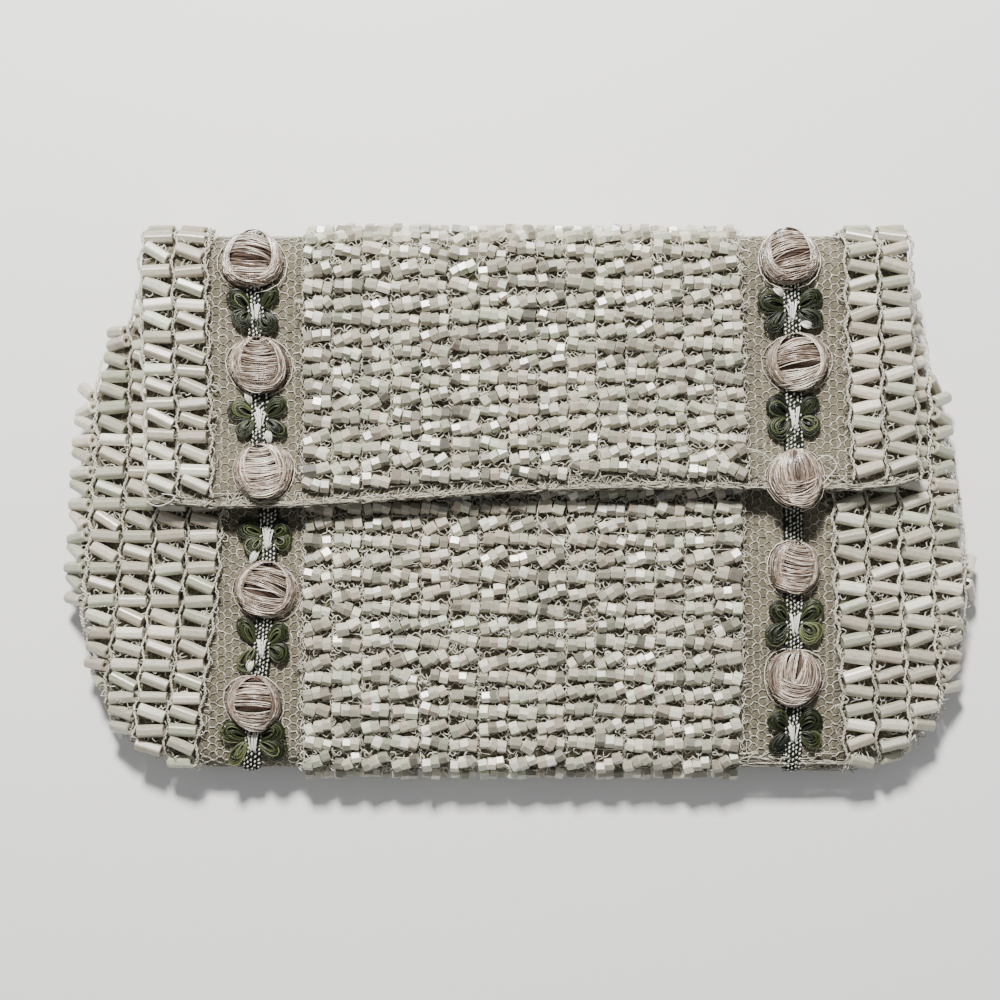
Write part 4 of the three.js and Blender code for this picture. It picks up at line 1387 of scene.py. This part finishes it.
def cloth_material():
    """Beige cloth with a hexagonal net over it, darkened with painted shade among the beads."""
    made, tree, shader = material("netted_cloth")
    grain = node(tree, "Attribute", attribute_name="grain")["Vector"]
    parts = []
    for shift in (0.0, 0.5):
        cells = {"Location": (shift, shift, 0), "Scale": (1 / (3 * NET_SIDE), 1 / NET_PITCH, 0)}
        moved = node(tree, "Mapping", {"Vector": grain, **cells})[0]
        cell = vector_node(tree, "FRACTION", moved)
        centred = vector_node(tree, "SUBTRACT", cell, (0.5, 0.5, 0))
        scaled = vector_node(tree, "MULTIPLY", centred, (math.sqrt(3), 1, 0))
        x, y, _ = node(tree, "SeparateXYZ", {0: vector_node(tree, "ABSOLUTE", scaled)})
        slanted = math_node(
            tree, "ADD", math_node(tree, "MULTIPLY", x, 0.866), math_node(tree, "MULTIPLY", y, 0.5)
        )
        parts.append(math_node(tree, "MAXIMUM", y, slanted))
    near_edge = math_node(tree, "MINIMUM", *parts)
    net = node(tree, "MapRange", {0: near_edge, 1: 0.36, 2: 0.45})[0]
    lit_share, _, _ = tint_parts(tree)
    weave = noise(tree, grain, 3.0, 4.0, 0.7)
    patches = noise(tree, grain, 0.16, 3.0)
    # The cloth's lit colour, and a much darker painted-shade colour for among the beads, mixed by each
    # point's lit share.
    seen = ramp(tree, weave, (0.4, (0.085, 0.075, 0.052)), (0.62, (0.2, 0.178, 0.125)))
    painted_shade_cloth = ramp(tree, weave, (0.4, (0.012, 0.009, 0.005)), (0.65, (0.1, 0.08, 0.05)))
    ground = mixed(tree, lit_share, painted_shade_cloth, seen)
    worn = ramp(tree, patches, (0.35, (0.8, 0.78, 0.74)), (0.65, (1.15, 1.13, 1.05)))
    ground = mixed(tree, 1.0, ground, worn, "MULTIPLY")
    raised = math_node(tree, "ADD", net, math_node(tree, "MULTIPLY", weave, 0.6))
    looks = {
        "Base Color": mixed(tree, math_node(tree, "MULTIPLY", net, 0.4), ground, (0.4, 0.37, 0.29, 1)),
        "Normal": bump(tree, 0.8, 0.0003, raised),
        "Roughness": 0.88,
        "Sheen Weight": 0.15,
    }
    fill(tree, shader, looks)
    return made


def thread_material(
    name, dark, middle, pale, roughness, sheen, gloss=0.5, ply_mottle_and_glints=0.5, plies_at=(1.4, 2.2, 5.3)
):
    """Spun thread: a colour by its tint, plies along its length, and a soft sheen; a strong ply mottle
    paints highlights and shade in patches.
    """
    made, tree, shader = material(name)
    light, _, _ = tint_parts(tree)
    plies = noise(tree, grain_vector(tree, plies_at), 1.6, 3.0, 0.6)
    # The plies' mottle; where it is strong it paints highlights and shade in patches.
    uneven = math_node(tree, "MULTIPLY", math_node(tree, "SUBTRACT", plies, 0.5), ply_mottle_and_glints)
    level = math_node(tree, "ADD", light, uneven)
    looks = {
        "Base Color": ramp(tree, level, (0.08, dark), (0.5, middle), (0.92, pale)),
        "Normal": bump(tree, 0.5, 0.0001, plies),
        "Roughness": roughness,
        "Sheen Weight": sheen,
        "Sheen Roughness": 0.4,
        "Specular IOR Level": gloss,
    }
    fill(tree, shader, looks)
    return made


def stud_material():
    """Plain plated metal, brushed and a little dulled."""
    made, tree, shader = material("plated_stud")
    where = node(tree, "TexCoord")["Object"]
    brushed = noise(tree, node(tree, "Mapping", {"Vector": where, "Scale": (300, 4000, 300)})[0], 1.0, 3.0)
    looks = {
        "Base Color": ramp(tree, brushed, (0.3, (0.4, 0.4, 0.39)), (0.7, (0.6, 0.6, 0.58))),
        "Roughness": node(tree, "MapRange", {0: brushed, 3: 0.25, 4: 0.45})[0],
        "Metallic": 1.0,
    }
    fill(tree, shader, looks)
    return made


GLASS = glass_material()
CLOTH_NET = cloth_material()
NET = thread_material("net_thread", (0.18, 0.165, 0.12), (0.46, 0.43, 0.345), (0.8, 0.77, 0.67), 0.7, 0.2)
# The floss's mottle swings far towards dark and near-white: painted highlights and painted shade in
# patches along each strand, over its own pinkish beige.
FLOSS = thread_material(
    "rose_floss",
    dark=(0.06, 0.035, 0.025),
    middle=(0.34, 0.25, 0.185),
    pale=(1.0, 0.92, 0.79),
    roughness=0.26,
    sheen=0.1,
    gloss=1.0,
    ply_mottle_and_glints=2.2,
    plies_at=(0.35, 0.7, 5.3),
)
# The roses' stuffing, coloured near-black brown: painted shade in the gaps and the slit between their
# strands.
SHADE_WADDING = thread_material(
    "shade_wadding", (0.04, 0.025, 0.018), (0.09, 0.06, 0.045), (0.15, 0.11, 0.085), 0.9, 0.1, 0.1
)
GREEN = thread_material(
    "green_thread", (0.004, 0.006, 0.002), (0.024, 0.032, 0.009), (0.19, 0.215, 0.085), 0.4, 0.03, 0.4
)
PALE = thread_material("pale_thread", (0.3, 0.29, 0.24), (0.6, 0.59, 0.51), (0.85, 0.84, 0.78), 0.5, 0.25)

# The cloth.
cloth_piece(
    "back_and_flap_cloth",
    strip_cloth(),
    CLOTH_NET,
    "back_and_flap",
)
cloth_piece(
    "front_panel_cloth",
    front_cloth(),
    CLOTH_NET,
    "front_panel",
)
frame["nodes"]["press_stud"].data.materials.clear()
frame["nodes"]["press_stud"].data.materials.append(stud_material())

# The beads, the bare net and the stitches, sheet by sheet.
for number, sheet in enumerate(SHEETS):
    first = 100 * (number + 1)
    beads = centre_beads(sheet, first)
    make(beads, f"{sheet}_seed_beads", GLASS, (f"{sheet}_centre_beads",), smooth=False)
    make(field_threads(sheet, first + 1), f"{sheet}_chain_stitches", NET)
    make(gap_loops(sheet, first + 2), f"{sheet}_loops", NET)
    if sheet != "back":
        make(rung_threads(sheet, first + 3), f"{sheet}_rung_threads", NET)
    for side, word in SIDES.items():
        beads = bugle_beads(sheet, side, first + 10 + side)
        replaced = (f"{sheet}_{word}_bugles",)
        make(beads, f"{sheet}_{word}_long_beads", GLASS, replaced, smooth=False)
        make(bugle_threads(sheet, side, first + 20 + side), f"{sheet}_{word}_zigzags", NET)
        make(net_band(sheet, side, first + 30 + side), f"{sheet}_{word}_net", NET)

# The trims.
for number, ((sheet, word), trim) in enumerate(TRIMS.items()):
    first = 1000 + 100 * number
    ground = braid_ground(sheet, trim, first)
    make(ground, f"{sheet}_{word}_plait", GREEN, (f"{sheet}_{word}_braid",))
    green, pale = leaves(sheet, trim, first + 2)
    make(green, f"{sheet}_{word}_leaves", GREEN)
    make(braid_stitches(sheet, trim, first + 1), f"{sheet}_{word}_pale_stitches", PALE)
    if pale.count:
        make(pale, f"{sheet}_{word}_pale_loops", PALE)
    pads = Heap()
    spots = zip(trim["roses"]["x"], trim["roses"]["y"], trim["kinds"])
    for count, (x, y, kind) in enumerate(spots, start=1):
        strands = rose(pads, sheet, x * HALF_WIDTH, y * HALF_DEPTH, kind, first + 10 + count)
        replaced = (f"{sheet}_{word}_rose_{count}",)
        make(strands, f"{sheet}_{word}_floss_rose_{count}", FLOSS, replaced)
    make(pads, f"{sheet}_{word}_rose_pads", SHADE_WADDING)

# The hem, the seam and the loose threads.
make(flap_hem(31), "flap_hem", NET)
make(seam_stitches(32), "side_seam", NET)
make(foot_tangle(34), "foot_tangle", NET)
make(loose_threads(33), "loose_threads", PALE)


# The floor, the light and the camera.
def floor():
    mesh = bpy.data.meshes.new("floor")
    reach = 3.0
    corners = [(x * reach, y * reach, 0) for x, y in ((-1, -1), (1, -1), (1, 1), (-1, 1))]
    mesh.from_pydata(corners, [], [(0, 1, 2, 3)])
    made, tree, shader = material("floor")
    fill(tree, shader, {"Base Color": (0.88, 0.88, 0.87, 1), "Roughness": 0.35})
    mesh.materials.append(made)
    piece = linked("floor", mesh)
    piece.location = (0, 0, -0.0003)


def lamp(name, azimuth, elevation, distance, size, power, colour):
    """A square lamp that shines on the purse from a direction, azimuth counted from +y towards -x."""
    data = bpy.data.lights.new(name, "AREA")
    data.size = size
    data.energy = power
    data.color = colour
    made = linked(name, data)
    az, el = math.radians(azimuth), math.radians(elevation)
    made.location = (
        -distance * math.cos(el) * math.sin(az),
        distance * math.cos(el) * math.cos(az),
        distance * math.sin(el),
    )
    made.rotation_euler = (math.radians(90) - el, 0, az + math.pi)


def world():
    made = bpy.data.worlds.new("room")
    made.use_nodes = True
    fill(made.node_tree, made.node_tree.nodes["Background"], {0: (0.97, 0.98, 1.0, 1), 1: 0.34})
    bpy.context.scene.world = made


def camera():
    """Straight above the purse, with the photograph's width in view at the height of its face."""
    data = bpy.data.cameras.new("camera")
    data.sensor_width = 36
    height = 0.45
    face_height = 0.008
    view_width = 0.22
    data.lens = data.sensor_width * (height - face_height) / view_width
    data.clip_start = 0.01
    made = linked("camera", data)
    made.location = (-0.00462, 0.00066, height)
    bpy.context.scene.camera = made


floor()
lamp("key", azimuth=9, elevation=49, distance=0.85, size=0.12, power=19, colour=(1, 0.98, 0.95))
world()
camera()
